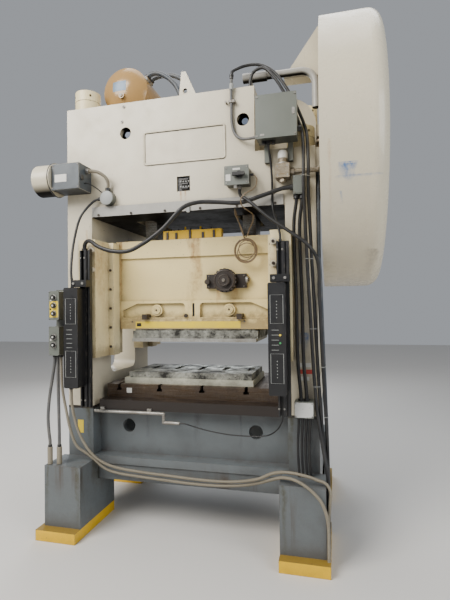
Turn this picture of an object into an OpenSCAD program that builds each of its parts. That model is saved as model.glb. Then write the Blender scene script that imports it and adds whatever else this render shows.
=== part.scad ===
// Straight-side mechanical stamping press with two connecting rods.
// Millimetres, +Z up, front towards -Y. The origin is on the floor, at the
// middle of the four anchor bolts, which is also the middle of the frame.

/* [Frame] */
// Width of each upright, from the slide's bay to the outside
upright_w = 186.5; // [176:0.5:200]
// Depth of the frame from front to rear
frame_d = 900; // [880:10:960]
// Height of the uprights between bed and crown
upright_h = 1223; // [1200:1:1260]
// Height of the crown
crown_h = 820; // [800:5:860]
// Thickness of the welded frame plates
plate_t = 40; // [30:1:45]
// Height of the crown's underside above the top of the uprights
crown_rise = 60; // [40:5:80]
// Height of the side window in each upright
window_h = 620; // [500:10:660]
// Depth of the side window from front to rear
window_d = 400; // [300:10:420]

/* [Bed] */
// Height of the four foot pads
foot_h = 67; // [50:1:90]
// Height of the legs under the bed
leg_h = 236; // [220:1:280]
// Height of the bed's side boxes
bed_h = 487; // [470:1:510]
// Width of a leg
leg_w = 256; // [250:1:270]
// How far a leg stands out in front of the frame
leg_reach = 217; // [180:1:240]
// Thickness of the leg plates
leg_t = 30; // [20:1:32]
// Thickness of the machined table on the bed
table_t = 64; // [50:1:70]
// Radius of the two round holes in the bed's front plate
bed_hole_r = 45; // [30:1:60]

/* [Tie rods] */
// Diameter of a tie rod
tie_d = 96; // [80:1:104]
// Diameter of a tie rod nut
tie_nut_d = 176; // [150:2:180]
// Height of a tie rod nut
tie_nut_h = 150; // [120:5:160]

/* [Drive] */
// Height of the crank axis above the top of the uprights
crank_rise = 444; // [430:1:455]
// Throw of the eccentrics, half of the stroke
throw = 50; // [40:1:50]
// Distance of each connecting rod from the middle
rod_x = 370; // [340:1:372]
// Length of a connecting rod between its two centres
rod_l = 717; // [700:1:725]
// Diameter of the main journals
journal_d = 180; // [160:1:190]
// Diameter of the eccentrics
eccentric_d = 290; // [286:1:296]
// Diameter of the flywheel
flywheel_d = 1200; // [1100:10:1220]
// Width of the flywheel's rim
flywheel_w = 200; // [160:5:210]
// Gap between the belt pulley and the rounded end of the guard
guard_gap = 59.5; // [50:0.5:80]
// Width of the flywheel guard
guard_w = 350; // [345:1:380]
// Diameter of the motor's body
motor_d = 300; // [260:5:310]
// Radius of the motor's belt pulley
pulley_r = 80; // [70:1:84]

/* [Slide] */
// Width of the slide
slide_w = 1138; // [1132:1:1144]
// Depth of the slide
slide_d = 560; // [520:5:570]
// Height of the slide
slide_h = 619; // [600:1:630]
// Wall thickness of the slide
slide_wall = 35; // [25:1:40]
// Thickness of the bronze liners on the slide
liner_t = 6; // [4:1:10]
// Running clearance between the liners and the gibs
gib_gap = 0.1; // [0.05:0.05:0.3]
// Height of the gibs
gib_h = 777; // [760:1:800]
// Thickness of a gib between the slide and its upright
gib_w = 83.4; // [70:0.1:95]

/* [Tooling] */
// Width of the bolster
bolster_w = 1219; // [1180:1:1230]
// Depth of the bolster
bolster_d = 686; // [640:1:700]
// Thickness of the bolster
bolster_t = 87; // [70:1:95]
// Thickness of the lower die shoe
lower_shoe_t = 40; // [30:1:50]
// Thickness of the lower die plate
lower_die_t = 40; // [30:1:50]
// Thickness of the upper die shoe
upper_shoe_t = 64; // [40:1:70]
// Thickness of the upper die plate
upper_die_t = 23; // [16:1:60]

/* [Fittings] */
// Radius of the air tank
tank_r = 167; // [150:1:168]
// Length of the air tank's straight part
tank_l = 520; // [400:10:560]
// Height of a light curtain housing
curtain_h = 635; // [600:5:700]
// Travel of a push button
button_travel = 5; // [3:0.5:6]

/* [Hidden] */

$fn = 64;
eps = 1;
cream = [0.80, 0.77, 0.68];
blue_grey = [0.38, 0.43, 0.47];
steel = [0.66, 0.67, 0.66];
dark = [0.12, 0.12, 0.13];
grey = [0.50, 0.52, 0.52];
bronze = [0.72, 0.55, 0.30];
rust = [0.36, 0.24, 0.16];
safety_yellow = [0.85, 0.68, 0.15];

// Levels from the floor upwards
bed_z = foot_h + leg_h;
upright_z = bed_z + bed_h;
crown_z = upright_z + upright_h;
crown_bottom = crown_z + crown_rise;
crown_top = crown_z + crown_h;
table_rise = 48;
table_top = upright_z + table_rise;
bolster_top = table_top + bolster_t;
lower_shoe_top = bolster_top + lower_shoe_t;
lower_die_top = lower_shoe_top + lower_die_t;
crank_z = crown_z + crank_rise;
pin_z = crank_z + throw;
wrist_z = pin_z - rod_l;
slide_over_wrist = 133;
slide_top = wrist_z + slide_over_wrist;
slide_bottom = slide_top - slide_h;
front = -frame_d / 2;
slide_x = slide_w / 2;
slide_y = slide_d / 2;
guide_x = slide_x + liner_t + gib_gap;
guide_y = slide_y + liner_t + gib_gap;
inner = guide_x + gib_w;
side = inner + upright_w;

// Crown
ledge_x = side - 369;
ledge_z = crank_z - 37;
neck_d = 440;
neck_corner_r = 190;
// The crown is put together from blocks: the main one, the shoulder and the neck on the
// drive side, and two feet. Each is given by its range along X and along Z
block_joint = 0.1;
crown_blocks = [
    [[-side, ledge_x], [crown_bottom, crown_top]],
    [[ledge_x + block_joint, side], [crown_bottom, ledge_z]],
    [[ledge_x + block_joint, side], [ledge_z + block_joint, crown_top]],
    [[-side, -inner], [crown_z, crown_bottom - block_joint]],
    [[inner, side], [crown_z, crown_bottom - block_joint]]
];
crown_hole_r = 40;
crown_hole_x = 403;
crown_hole_z = crown_top - 205;
border_x = 10;
border_w = 559;
border_h = 222;
border_z = crown_top - 328;
border_t = 9;
border_out = 5;
counter_x = 5;
counter_z = crown_bottom + 181;
counter_w = 90;
counter_h = 97;
strip_h = 66;
strip_t = 12;
strip_w = 2 * inner - 17;

window_sill = 190;

// Tie rods
tie_x = side - upright_w / 2;
tie_y = frame_d / 2 - 120;
tie_gap = 8;
rod_stub = 14;

// Bed
table_w = bolster_w;
bed_plate_set = 100;
bed_hole_x = 442;
bed_hole_z = upright_z - 145;
shelf_h = 50;
shelf_over = 10;
band_h = 107;
scrap_w = 700;
scrap_d = 360;
leg_over = 36;
leg_x = side - leg_w + leg_over;
leg_depth = leg_reach + 220;
leg_front_top = bed_z + 147;
pad_over = 22;
pad_front = 62;
anchor_d = 33;
anchor_x = leg_x + leg_w / 2;
anchor_y = frame_d / 2 + 130;

// Die set
die_x = 434;
die_y = 294;
shoe_neck_t = 12;

// Slide and its guides
liner_w = 26;
liner_side_l = 90;
liner_inset = 12;
gib_z = slide_bottom - 176;
gib_strip_x = slide_x - 29;
gib_strip_y = slide_y + 95;
gib_block_x = guide_x + 2;
gib_block_out = 100;
gib_block_over = 42;
gib_back_y = slide_y - 100;
gib_bolt_h = 18;
boss_d = 38;

// Crank train
bearing_d = 300;
bearing_flange_d = 370;
bearing_flange_t = 20;
journal_gap = 0.1;
shaft_d = 170;
stub_d = 140;
ring_d = eccentric_d + 110;
rod_t = 90;
eccentric_w = rod_t + 20;
wrist_d = 60;
eye_d = 130;
fork_wall = 32;
fork_gap = 1;
wrist_play_y = throw + 3;
wrist_play_z = 13;
screw_d = 120;
screw_gap = 0.1;
screw_l = 210;
adjust_travel = 30;
nut_post_d = 210;
bay_w = 216;

// Flywheel, guard, motor and belts
guard_x = side + 35;
guard_t = 5;
guard_corner_r = 80;
guard_lip = 12;
flywheel_x = guard_x + 70;
hub_d = 300;
web_t = 50;
rim_t = 120;
belt_n = 4;
belt_w = 22;
belt_pitch = 34;
belt_h = 12;
belt_gap = 0.3;
belt_first_x = flywheel_x + 38;
groove_d = belt_h + 2;
motor_y = 690;
motor_rise = 243;
guard_r = norm([motor_y, motor_rise]) + pulley_r + guard_gap;
motor_z = crank_z + motor_rise;
motor_l = 440;
motor_x = guard_x - 110 - motor_l;
motor_shaft_d = 48;
motor_axis_h = 175;
shelf_t = 20;
clutch_d = 360;
clutch_hole_d = 400;

// Air gear on top
tank_x = -490;
tank_y = -270;
tank_z = crown_top + tank_r + 10;
dome_depth = 60;
lug_y = -350;
pipe_y = -350;
pipe_z = crown_top + 102;
muffler_r = 31;
pipe_r = 23;
pipe_bend_r = 90;
pipe_drop_x = guard_x - 30;

// Boxes on the front
ebox_x = ledge_x + 35;
ebox_w = 234;
ebox_h = 250;
ebox_d = 120;
ebox_z = ledge_z + 20;
rail_t = 30;
valve_x = side - 191;
valve_z = crown_bottom + 147;
disconnect_x = ledge_x - 101;
disconnect_z = crown_bottom + 182;
disconnect_w = 145;
disconnect_h = 110;
disconnect_d = 80;
handle_gap = 0.3;
upper_box_x = side - 129;
low_box_x = side - 139;
round_box_d = 96;
round_box_x = -side + 322;
round_box_z = crown_bottom + 116;
cam_box_w = 206;
cam_box_d = 150;
cam_box_h = 171;
cam_box_x = -side - 21;
cam_box_z = crown_bottom + 165;
cam_drum_r = 105;
cam_drum_l = 134;

// Light curtains and push buttons
post_w = 41;
post_t = 50;
post_x = inner - 18.5;
post_bottom = upright_z + 25;
post_h = 1015;
curtain_w = 100;
curtain_d = 85;
curtain_out = 34;
curtain_in = 12;
curtain_z = upright_z + 160;
button_x = -side + 21;
button_box_w = 76;
button_box_d = 80;
button_box_h = 188;
upper_box_z = curtain_z + 430;
lower_box_z = curtain_z + 200;
button_d = 30;
button_pitch = 52;
stem_gap = 0.08;
button_plate_t = 8;

// Cable routes, points chosen by hand along the real runs, for a front face at -450
routes_front = -450;
span_route = [
    [-640, -575, 1830], [-640, -575, 1848], [-632, -580, 1874], [-606, -592, 1890],
    [-570, -606, 1882], [-520, -626, 1850], [-415, -640, 1812], [-300, -640, 1805], [-210, -640, 1840], [-80, -620, 1930],
    [50, -580, 2070], [130, -550, 2100], [250, -530, 2098], [395, -520, 2088],
    [545, -505, 2130], [650, -492, 2162], [690, -490, 2165], [716, -490, 2165]
];
switch_route = [
    [385, -490, 2200], [385, -490, 2180], [387, -500, 2155], [396, -524, 2132],
    [414, -548, 2112], [440, -565, 2095],
    [580, -590, 1970], [700, -600, 1880], [800, -600, 1800], [850, -560, 1720],
    [858, -520, 1500], [868, -514, 1200], [880, -510, 900], [890, -515, 640],
    [892.5, -520, 470], [892.5, -520, 300], [892.5, -520, 110], [892.5, -520, 67]
];
drop_route = [
    [338, -470, 2896], [342, -466, 2930], [365, -440, 2958], [420, -420, 2982],
    [500, -418, 2978], [590, -420, 2925], [690, -430, 2775], [752, -430, 2640],
    [792, -445, 2520], [802, -500, 2430], [808, -552, 2290], [806, -552, 2150],
    [810, -530, 1960], [826, -500, 1500], [852, -505, 900], [870, -530, 640],
    [886, -555, 530], [892.5, -560, 470], [892.5, -560, 300], [892.5, -560, 110],
    [892.5, -560, 67]
];
inner_drop_route = [
    [450, -430, 2833], [450, -430, 2870], [470, -432, 2925], [530, -436, 2945],
    [592, -442, 2886], [668, -440, 2758], [726, -432, 2640], [766, -442, 2520],
    [776, -500, 2430], [782, -575, 2290], [780, -578, 2150], [784, -550, 1960],
    [800, -515, 1500], [830, -515, 900], [866, -560, 640], [886, -592, 530], [892.5, -600, 470],
    [892.5, -600, 300], [892.5, -600, 110], [892.5, -600, 67]
];
loop_route = [
    [338, -470, 2896], [336, -470, 2860], [334, -468, 2730], [340, -468, 2580],
    [365, -472, 2520], [410, -490, 2488], [480, -510, 2480], [511, -510, 2480]
];
box_drop_route = [
    [574, -540, 2440], [574, -540, 2412], [580, -490, 2330], [584, -471, 2220],
    [586, -471, 2060], [622, -560, 1940], [640, -575, 1870], [640, -575, 1830]
];
cam_conduit_route = [
    [-660, -520, 2370], [-630, -520, 2370], [-570, -520, 2358], [-520, -505, 2320],
    [-516, -480, 2280], [-523, -475, 2257], [-523, -475, 2237]
];
curtain_lead_route = [
    [-571, -475, 2189], [-590, -475, 2189], [-618, -480, 2180], [-648, -500, 2145],
    [-670, -522, 2105], [-692, -545, 2050],
    [-722, -575, 1870], [-700, -635, 1680], [-690, -640, 1620], [-690, -640, 1585]
];
cam_lead_route = [
    [-660, -540, 2285], [-640, -540, 2285], [-604, -510, 2266], [-571, -475, 2237],
    [-557, -475, 2223]
];
wide_conduit_route = [
    [-800, -600, 1150], [-800, -600, 1110], [-791, -610, 1020], [-781, -618, 937],
    [-764, -602, 792], [-743, -585, 654], [-712, -560, 546], [-664, -545, 508],
    [-606, -524, 456], [-564, -504, 408], [-520, -490, 380], [-450, -484, 364], [-300, -480, 352], [-100, -480, 342],
    [100, -480, 336], [260, -482, 342], [386, -494, 361], [492, -535, 401],
    [598, -604, 460], [650, -642, 484], [705, -668, 488], [755, -684, 474],
    [813, -696, 438], [858, -702, 390], [884, -694, 320], [892.5, -682, 250],
    [892.5, -680, 110], [892.5, -680, 67]
];
curtain_conduit_route = [
    [-700, -640, 950], [-700, -640, 915], [-712, -615, 830], [-704, -580, 693],
    [-672, -560, 590], [-620, -540, 500], [-560, -512, 440], [-470, -492, 404],
    [-300, -484, 384], [-100, -482, 374], [100, -482, 366], [260, -486, 369],
    [386, -502, 388], [492, -550, 430], [580, -604, 488], [640, -634, 511],
    [700, -648, 516], [760, -650, 508], [805, -644, 496], [843, -640, 482],
    [867, -640, 477], [887, -640, 464], [900.5, -640, 443], [905, -640, 415],
    [900, -640, 350], [892.5, -640, 260],
    [892.5, -640, 110], [892.5, -640, 67]
];
left_drop_route = [
    [-848, -600, 1150], [-848, -600, 1110], [-860, -606, 1010], [-874, -622, 870],
    [-876, -634, 740], [-864, -640, 640], [-858, -640, 600], [-858, -640, 560.3]
];
second_drop_route = [
    [-824, -600, 1150], [-824, -600, 1110], [-820, -606, 1000], [-812, -615, 900],
    [-804, -622, 750], [-800, -625, 640], [-800, -625, 600], [-800, -625, 560.3]
];
left_sleeve_route = [[-858, -640, 450], [-858, -640, 510], [-858, -640, 560]];
bed_wire_route = [
    [-33, -462, 706], [0, -462, 706], [60, -458, 690], [160, -456, 668],
    [300, -458, 652], [440, -460, 652], [540, -475, 668], [600, -512, 715],
    [632, -548, 770], [640, -560, 798], [640, -560, 815]
];
blue_hose_route = [
    [860, -400, 2290], [860, -400, 2255], [860, -440, 2160], [860, -472, 2050],
    [860, -476, 1900], [860, -476, 1750], [866, -476, 1600], [874, -476, 1250],
    [884, -478, 900], [890, -480, 640], [892.5, -480, 470], [892.5, -480, 300],
    [892.5, -480, 110], [892.5, -480, 67]
];
hank_top = [390, -330, 1885];
hank_r = 68;
tan_lead_route = concat(
    [[452, -490, 2262], [470, -490, 2262], [492, -494, 2238], [494, -506, 2200],
     [478, -556, 2152], [446, -592, 2126], [414, -594, 2094], [414, -572, 2058],
     [440, -526, 2036], [462, -470, 2020], [452, -420, 1985], [420, -370, 1950], [400, -340, 1915]],
    [for (k = [0 : 35]) let (a = 90 - 30 * k, t = k / 12)
        [hank_top[0] + (hank_r + 3 * t) * cos(a), hank_top[1] - 4 * t - 2 * sin(7 * k),
         hank_top[2] - hank_r + (hank_r + 5 * t) * sin(a)]],
    [[384, -352, 1900], [372, -370, 1950], [350, -400, 2010], [340, -430, 2040],
     [340, -436, 2055], [340, -436, 2073]]);
riser_route = [
    [732, -500, 2113], [732, -500, 2080], [716, -496, 1960], [722, -494, 1500],
    [728, -500, 1100], [742, -505, 926], [742, -505, 892]
];
leg_route = [
    [728, -510, 798], [728, -510, 760], [720, -500, 640], [724, -515, 520],
    [728, -520, 470], [728, -520, 450]
];
hose_route = [
    [-360, -170, 3140], [-340, -170, 3160], [-290, -170, 3166], [-210, -170, 3124],
    [-140, -170, 3050], [-100, -170, 2950], [-96, -170, 2870], [-96, -170, 2833]
];
far_hose_route = [
    [-360, -110, 3140], [-340, -110, 3160], [-280, -110, 3172], [-180, -112, 3160],
    [-90, -116, 3100], [-30, -120, 2980], [-20, -120, 2880], [-20, -120, 2833]
];

// A block between two corners given as ranges
module slab(x, y, z) {
    translate([x[0], y[0], z[0]])
        cube([x[1] - x[0], y[1] - y[0], z[1] - z[0]]);
}

// A round bar along X from x0 to x1
module bar_x(d, x0, x1, y, z) {
    translate([x0, y, z])
        rotate([0, 90, 0])
            cylinder(d = d, h = x1 - x0);
}

// A round bar along Y from y0 to y1
module bar_y(d, y0, y1, x, z) {
    translate([x, y0, z])
        rotate([-90, 0, 0])
            cylinder(d = d, h = y1 - y0);
}

// A round bar along Z from z0 to z1
module bar_z(d, z0, z1, x, y) {
    translate([x, y, z0])
        cylinder(d = d, h = z1 - z0);
}

module both_sides() {
    children();
    mirror([1, 0, 0]) children();
}

module front_and_rear() {
    children();
    mirror([0, 1, 0]) children();
}

module four_corners() {
    both_sides() front_and_rear() children();
}

// A flat outline with four round corners, centred
module round_rect(w, h, r) {
    square([w - 2 * r, h], center = true);
    square([w, h - 2 * r], center = true);
    for (i = [-1, 1], j = [-1, 1])
        translate([i * (w / 2 - r), j * (h / 2 - r)])
            circle(r = r);
}

// A round-cornered plate that faces the front, from y0 back to y1
module front_plate(w, h, r, x, z, y0, y1) {
    translate([x, y1, z])
        rotate([90, 0, 0])
            linear_extrude(y1 - y0)
                round_rect(w, h, r);
}

// What is cut away to round an edge that runs along Y
module edge_round(r, x, z, y0, y1) {
    difference() {
        slab([x - r, x + eps], [y0, y1], [z - r, z + eps]);
        bar_y(2 * r, y0 - eps, y1 + eps, x - r, z - r);
    }
}

// Crown: a welded box with heavy side blocks and a narrow neck at the drive side
module crown() {
    color(cream)
        for (block = crown_blocks)
            intersection() {
                crown_shape();
                slab(block[0], [front - 10, -front], block[1]);
            }
}

module crown_shape() {
    difference() {
        union() {
            slab([-side, side], [front, -front], [crown_z, crown_top]);
            blank_border();
        }
        slab([-inner, inner], [front - eps, -front + eps], [crown_z - eps, crown_bottom]);
        crown_cavity();
        slab([ledge_x, side + eps], [front - eps, -neck_d / 2], [ledge_z, crown_top + eps]);
        edge_round(neck_corner_r, side, crown_top, -neck_d / 2 - eps, -front + eps);
        bar_x(bearing_d, -side - eps, side + eps, 0, crank_z);
        front_and_rear()
            both_sides()
                bar_y(2 * crown_hole_r, front - eps, front + plate_t + eps,
                      crown_hole_x, crown_hole_z);
        slab([counter_x - counter_w / 2, counter_x + counter_w / 2],
             [front - eps, front + plate_t + eps],
             [counter_z - counter_h / 2, counter_z + counter_h / 2]);
        tie_bores(crown_z - eps, crown_top + eps);
        rod_slots();
    }
}

// The raised blank frame on the crown's front
module blank_border() {
    translate([border_x, front + eps, border_z])
        rotate([90, 0, 0])
            linear_extrude(border_out + eps)
                difference() {
                    round_rect(border_w, border_h, 18);
                    round_rect(border_w - 2 * border_t, border_h - 2 * border_t, 12);
                }
}

module crown_cavity() {
    wall_y = -front - plate_t;
    slab([-inner, ledge_x - plate_t * 0.75], [-wall_y, wall_y],
         [crown_bottom + plate_t, crown_top - plate_t]);
    slab([ledge_x - plate_t, inner], [-wall_y, wall_y],
         [crown_bottom + plate_t, ledge_z - plate_t]);
}

module rod_slots() {
    both_sides()
        slab([rod_x - rod_t / 2 - 20, rod_x + rod_t / 2 + 20],
             [-ring_d * 0.42 - throw - 10, ring_d * 0.42 + throw + 10],
             [crown_bottom - eps, crown_bottom + plate_t + eps]);
}

module tie_bores(z0, z1) {
    four_corners()
        bar_z(tie_d + 2 * tie_gap, z0, z1, tie_x, tie_y);
}

// Grey bar along the lower front edge of the crown
module crown_strip() {
    color(grey)
        slab([-strip_w / 2, strip_w / 2], [front - strip_t, front],
             [crown_bottom, crown_bottom + strip_h]);
}

// Counter behind its square window, three rows of number wheels
module shut_height_counter() {
    play = 1;
    wheel_d = 26;
    color(dark) {
        slab([counter_x - counter_w / 2 + play, counter_x + counter_w / 2 - play],
             [front + 14, front + plate_t],
             [counter_z - counter_h / 2, counter_z + counter_h / 2]);
        for (row = [-1 : 1])
            bar_x(wheel_d, counter_x - 12, counter_x + 30, front + 14, counter_z + row * 28);
    }
}

module upright(s) {
    mirror([s < 0 ? 1 : 0, 0, 0])
        difference() {
            slab([inner, side], [front, -front], [upright_z, crown_z]);
            tie_bores(upright_z - eps, crown_z + eps);
            translate([inner - eps, 0, upright_z + window_sill + window_h / 2])
                rotate([90, 0, 90])
                    linear_extrude(side - inner + 2 * eps)
                        round_rect(window_d, window_h, 60);
            slab([side - 14, side + eps], [-window_d / 2, window_d / 2],
                 [upright_z + window_sill + window_h + 90, crown_z - 90]);
        }
}

module left_upright() {
    color(cream) upright(-1);
}

module right_upright() {
    color(cream) upright(1);
}

// Bed: side boxes, set-back front and rear plates, table, shelf and four legs
module bed() {
    plate_y = -front - bed_plate_set;
    color(blue_grey)
    difference() {
        union() {
            both_sides()
                slab([inner, side], [front, -front], [bed_z, upright_z]);
            slab([-table_w / 2, table_w / 2], [front, -front],
                 [table_top - table_t, table_top]);
            front_and_rear() {
                slab([-inner, inner], [-plate_y, -plate_y + plate_t],
                     [bed_z, table_top - table_t]);
                slab([-inner, inner], [front + shelf_over, -plate_y],
                     [bed_z, bed_z + band_h]);
                slab([-inner, inner], [front, -plate_y],
                     [bed_z + band_h, bed_z + band_h + shelf_h]);
            }
            four_corners() leg();
        }
        four_corners()
            bar_y(2 * bed_hole_r, -plate_y - eps, -plate_y + plate_t + eps,
                  bed_hole_x, bed_hole_z);
        slab([-scrap_w / 2, scrap_w / 2], [-scrap_d / 2, scrap_d / 2],
             [table_top - table_t - eps, table_top + eps]);
        tie_bores(bed_z - leg_t - eps, upright_z + eps);
        four_corners()
            bar_z(anchor_d, foot_h - eps, foot_h + leg_t + eps, anchor_x, -anchor_y);
    }
}

// One leg at the front right, an open-backed box that carries the frame
module leg() {
    x1 = leg_x + leg_w;
    y0 = front - leg_reach;
    y1 = y0 + leg_depth;
    difference() {
        union() {
            slab([leg_x, x1], [y0, y1], [foot_h, bed_z]);
            slab([leg_x, x1], [y0, front], [bed_z, leg_front_top]);
        }
        slab([leg_x + leg_t, x1 - leg_t], [y0 + leg_t, y1 + eps],
             [foot_h + leg_t, bed_z - leg_t]);
        slab([leg_x + leg_t, x1 - leg_t], [y0 + leg_t, front - leg_t],
             [bed_z - leg_t - eps, leg_front_top - leg_t]);
    }
}

module foot_pads() {
    y0 = front - leg_reach - pad_front;
    color(safety_yellow)
        four_corners()
            difference() {
                slab([leg_x, leg_x + leg_w + pad_over], [y0, y0 + leg_depth + pad_front],
                     [0, foot_h]);
                bar_z(anchor_d, -eps, foot_h + eps, anchor_x, -anchor_y);
            }
}

// Height of the seat of the top nut, lower where the crown has its ledge
function nut_seat(right, at_front) = right && at_front ? ledge_z : crown_top;

module tie_rods() {
    color(steel)
        for (i = [-1, 1], j = [-1, 1])
            bar_z(tie_d, bed_z - leg_t - tie_nut_h + rod_stub,
                  nut_seat(i > 0, j < 0) + tie_nut_h - rod_stub, i * tie_x, j * tie_y);
}

module tie_nut() {
    bore_gap = 0.1;
    tommy_d = 16;
    difference() {
        cylinder(d = tie_nut_d, h = tie_nut_h);
        translate([0, 0, -eps])
            cylinder(d = tie_d + 2 * bore_gap, h = tie_nut_h + 2 * eps);
        translate([0, 0, tie_nut_h * 0.52])
            difference() {
                cylinder(d = tie_nut_d + 2, h = 4);
                translate([0, 0, -eps])
                    cylinder(d = tie_nut_d - 6, h = 4 + 2 * eps);
            }
        for (a = [-50, 40])
            rotate([0, 0, a])
                translate([0, 0, tie_nut_h * 0.76])
                    rotate([90, 0, 0])
                        cylinder(d = tommy_d, h = tie_nut_d);
    }
}

module tie_rod_nuts() {
    color(cream)
        for (i = [-1, 1], j = [-1, 1]) {
            translate([i * tie_x, j * tie_y, nut_seat(i > 0, j < 0)])
                tie_nut();
            translate([i * tie_x, j * tie_y, bed_z - leg_t - tie_nut_h])
                tie_nut();
        }
}

// Bolster plate with T-slots from front to rear
module bolster() {
    slot_w = 22;
    slot_foot_w = 38;
    slot_foot_h = 18;
    slot_depth = 44;
    color(rust)
        difference() {
            slab([-bolster_w / 2, bolster_w / 2], [-bolster_d / 2, bolster_d / 2],
                 [table_top, bolster_top]);
            for (x = [-520 : 300 : 380]) {
                slab([x - slot_w / 2, x + slot_w / 2],
                     [-bolster_d / 2 - eps, bolster_d / 2 + eps],
                     [bolster_top - slot_depth, bolster_top + eps]);
                slab([x - slot_foot_w / 2, x + slot_foot_w / 2],
                     [-bolster_d / 2 - eps, bolster_d / 2 + eps],
                     [bolster_top - slot_depth, bolster_top - slot_depth + slot_foot_h]);
            }
        }
}

module lower_die_shoe() {
    color(steel)
        slab([-die_x - 64, die_x - 14], [-die_y - 6, die_y - 134],
             [bolster_top, lower_shoe_top]);
}

module lower_die_plate() {
    color(steel)
        difference() {
            slab([-die_x - 32, die_x - 26], [-die_y + 2, die_y - 144],
                 [lower_shoe_top, lower_die_top]);
            for (x = [-360 : 180 : 360])
                slab([x - 20, x + 20], [-120, 30], [lower_die_top - 12, lower_die_top + eps]);
        }
}

// One gib at the front right: a bar that guides the slide's corner
module gib() {
    x_out = inner + gib_block_over;
    translate([0, 0, gib_z])
        linear_extrude(gib_h)
            polygon([
                [inner, -gib_back_y],
                [guide_x, -gib_back_y],
                [guide_x, -guide_y],
                [gib_strip_x, -guide_y],
                [gib_strip_x, -gib_strip_y],
                [gib_block_x, -gib_strip_y],
                [gib_block_x, front - gib_block_out],
                [x_out, front - gib_block_out],
                [x_out, front],
                [inner, front]
            ]);
}

module front_gibs() {
    color(cream) both_sides() gib();
}

module rear_gibs() {
    color(cream) both_sides() mirror([0, 1, 0]) gib();
}

// Bolts along the gibs' strips and round bosses on their blocks
module gib_bolts() {
    strip_mid = (gib_strip_x + gib_block_x) / 2;
    boss_x = gib_block_x + boss_d / 2 + 2;
    color(steel)
        four_corners() {
            for (k = [0 : 5])
                bar_y(16, -gib_strip_y - 8, -gib_strip_y, strip_mid,
                      gib_z + 60 + k * (gib_h - 120) / 5);
            for (k = [0 : 1])
                bar_y(boss_d, front - gib_block_out - gib_bolt_h, front - gib_block_out,
                      boss_x, gib_z + gib_h - 70 - k * 130);
        }
}

// Bearing cartridges pressed into the crown's side blocks
module main_bearings() {
    color(bronze)
        both_sides()
            difference() {
                union() {
                    bar_x(bearing_d, inner, side, 0, crank_z);
                    bar_x(bearing_flange_d, side, side + bearing_flange_t, 0, crank_z);
                }
                bar_x(journal_d + 2 * journal_gap, inner - eps, side + bearing_flange_t + eps,
                      0, crank_z);
            }
}

// Cover over the free end of the crankshaft
module bearing_cover() {
    x1 = -side - bearing_flange_t;
    color(cream)
        difference() {
            bar_x(bearing_flange_d - 40, x1 - 50, x1, 0, crank_z);
            bar_x(journal_d + 20, x1 - 35, x1 + eps, 0, crank_z);
        }
}

// Eccentric shaft, shown with both eccentrics at the top
module crankshaft() {
    x0 = -side - bearing_flange_t - 30;
    x1 = side + bearing_flange_t + 12;
    color(steel) {
        difference() {
            union() {
                bar_x(journal_d, x0, -rod_x - eccentric_w / 2, 0, crank_z);
                bar_x(journal_d, rod_x + eccentric_w / 2, x1, 0, crank_z);
                bar_x(shaft_d, -rod_x, rod_x, 0, crank_z);
                bar_x(stub_d, x1 - eps, guard_x + guard_w - 40, 0, crank_z);
                both_sides()
                    bar_x(eccentric_d, rod_x - eccentric_w / 2, rod_x + eccentric_w / 2,
                          0, pin_z);
            }
            bar_x(20, guard_x + guard_w - 100, guard_x + guard_w, 0, crank_z);
        }
    }
}

// Clutch drum on the crankshaft, beside the flywheel
module clutch_drum() {
    x0 = side + bearing_flange_t + 12;
    x1 = flywheel_x - 20;
    color(dark)
        difference() {
            union() {
                bar_x(clutch_d, x0 + 8, x1, 0, crank_z);
                bar_x(stub_d + 60, x0, x0 + 10, 0, crank_z);
            }
            bar_x(stub_d, x0 - eps, x1 + eps, 0, crank_z);
            for (k = [0 : 1])
                difference() {
                    bar_x(clutch_d + 2, x0 + 20 + k * 20, x0 + 28 + k * 20, 0, crank_z);
                    bar_x(clutch_d - 30, x0 + 19 + k * 20, x0 + 29 + k * 20, 0, crank_z);
                }
        }
}

// Lower half of the big end, shank and eye of both connecting rods
module connecting_rods() {
    color(steel)
        both_sides()
            difference() {
                union() {
                    intersection() {
                        bar_x(ring_d, rod_x - rod_t / 2, rod_x + rod_t / 2, 0, pin_z);
                        slab([rod_x - rod_t, rod_x + rod_t], [-ring_d, ring_d],
                             [pin_z - ring_d, pin_z]);
                    }
                    rod_shank();
                    rod_ears(pin_z - 50, pin_z);
                    bar_x(eye_d, rod_x - rod_t / 2, rod_x + rod_t / 2, 0, wrist_z);
                }
                bar_x(eccentric_d + 2 * journal_gap, rod_x - rod_t, rod_x + rod_t, 0, pin_z);
                bar_x(wrist_d, rod_x - rod_t, rod_x + rod_t, 0, wrist_z);
            }
}

module rod_shank() {
    translate([rod_x - rod_t / 2, 0, 0])
        rotate([90, 0, 90])
            linear_extrude(rod_t)
                polygon([
                    [-eye_d / 2, wrist_z],
                    [eye_d / 2, wrist_z],
                    [ring_d * 0.42, pin_z - ring_d * 0.25],
                    [-ring_d * 0.42, pin_z - ring_d * 0.25]
                ]);
}

module rod_ears(z0, z1) {
    slab([rod_x - rod_t / 2, rod_x + rod_t / 2], [-ring_d / 2 - 34, ring_d / 2 + 34], [z0, z1]);
}

// Bolted upper halves of the big ends
module rod_caps() {
    color(steel)
        both_sides()
            difference() {
                union() {
                    intersection() {
                        bar_x(ring_d, rod_x - rod_t / 2, rod_x + rod_t / 2, 0, pin_z);
                        slab([rod_x - rod_t, rod_x + rod_t], [-ring_d, ring_d],
                             [pin_z, pin_z + ring_d]);
                    }
                    rod_ears(pin_z, pin_z + 60);
                    front_and_rear()
                        bar_z(30, pin_z + 59, pin_z + 84, rod_x, -ring_d / 2 - 10);
                }
                bar_x(eccentric_d + 2 * journal_gap, rod_x - rod_t, rod_x + rod_t, 0, pin_z);
            }
}

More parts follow.
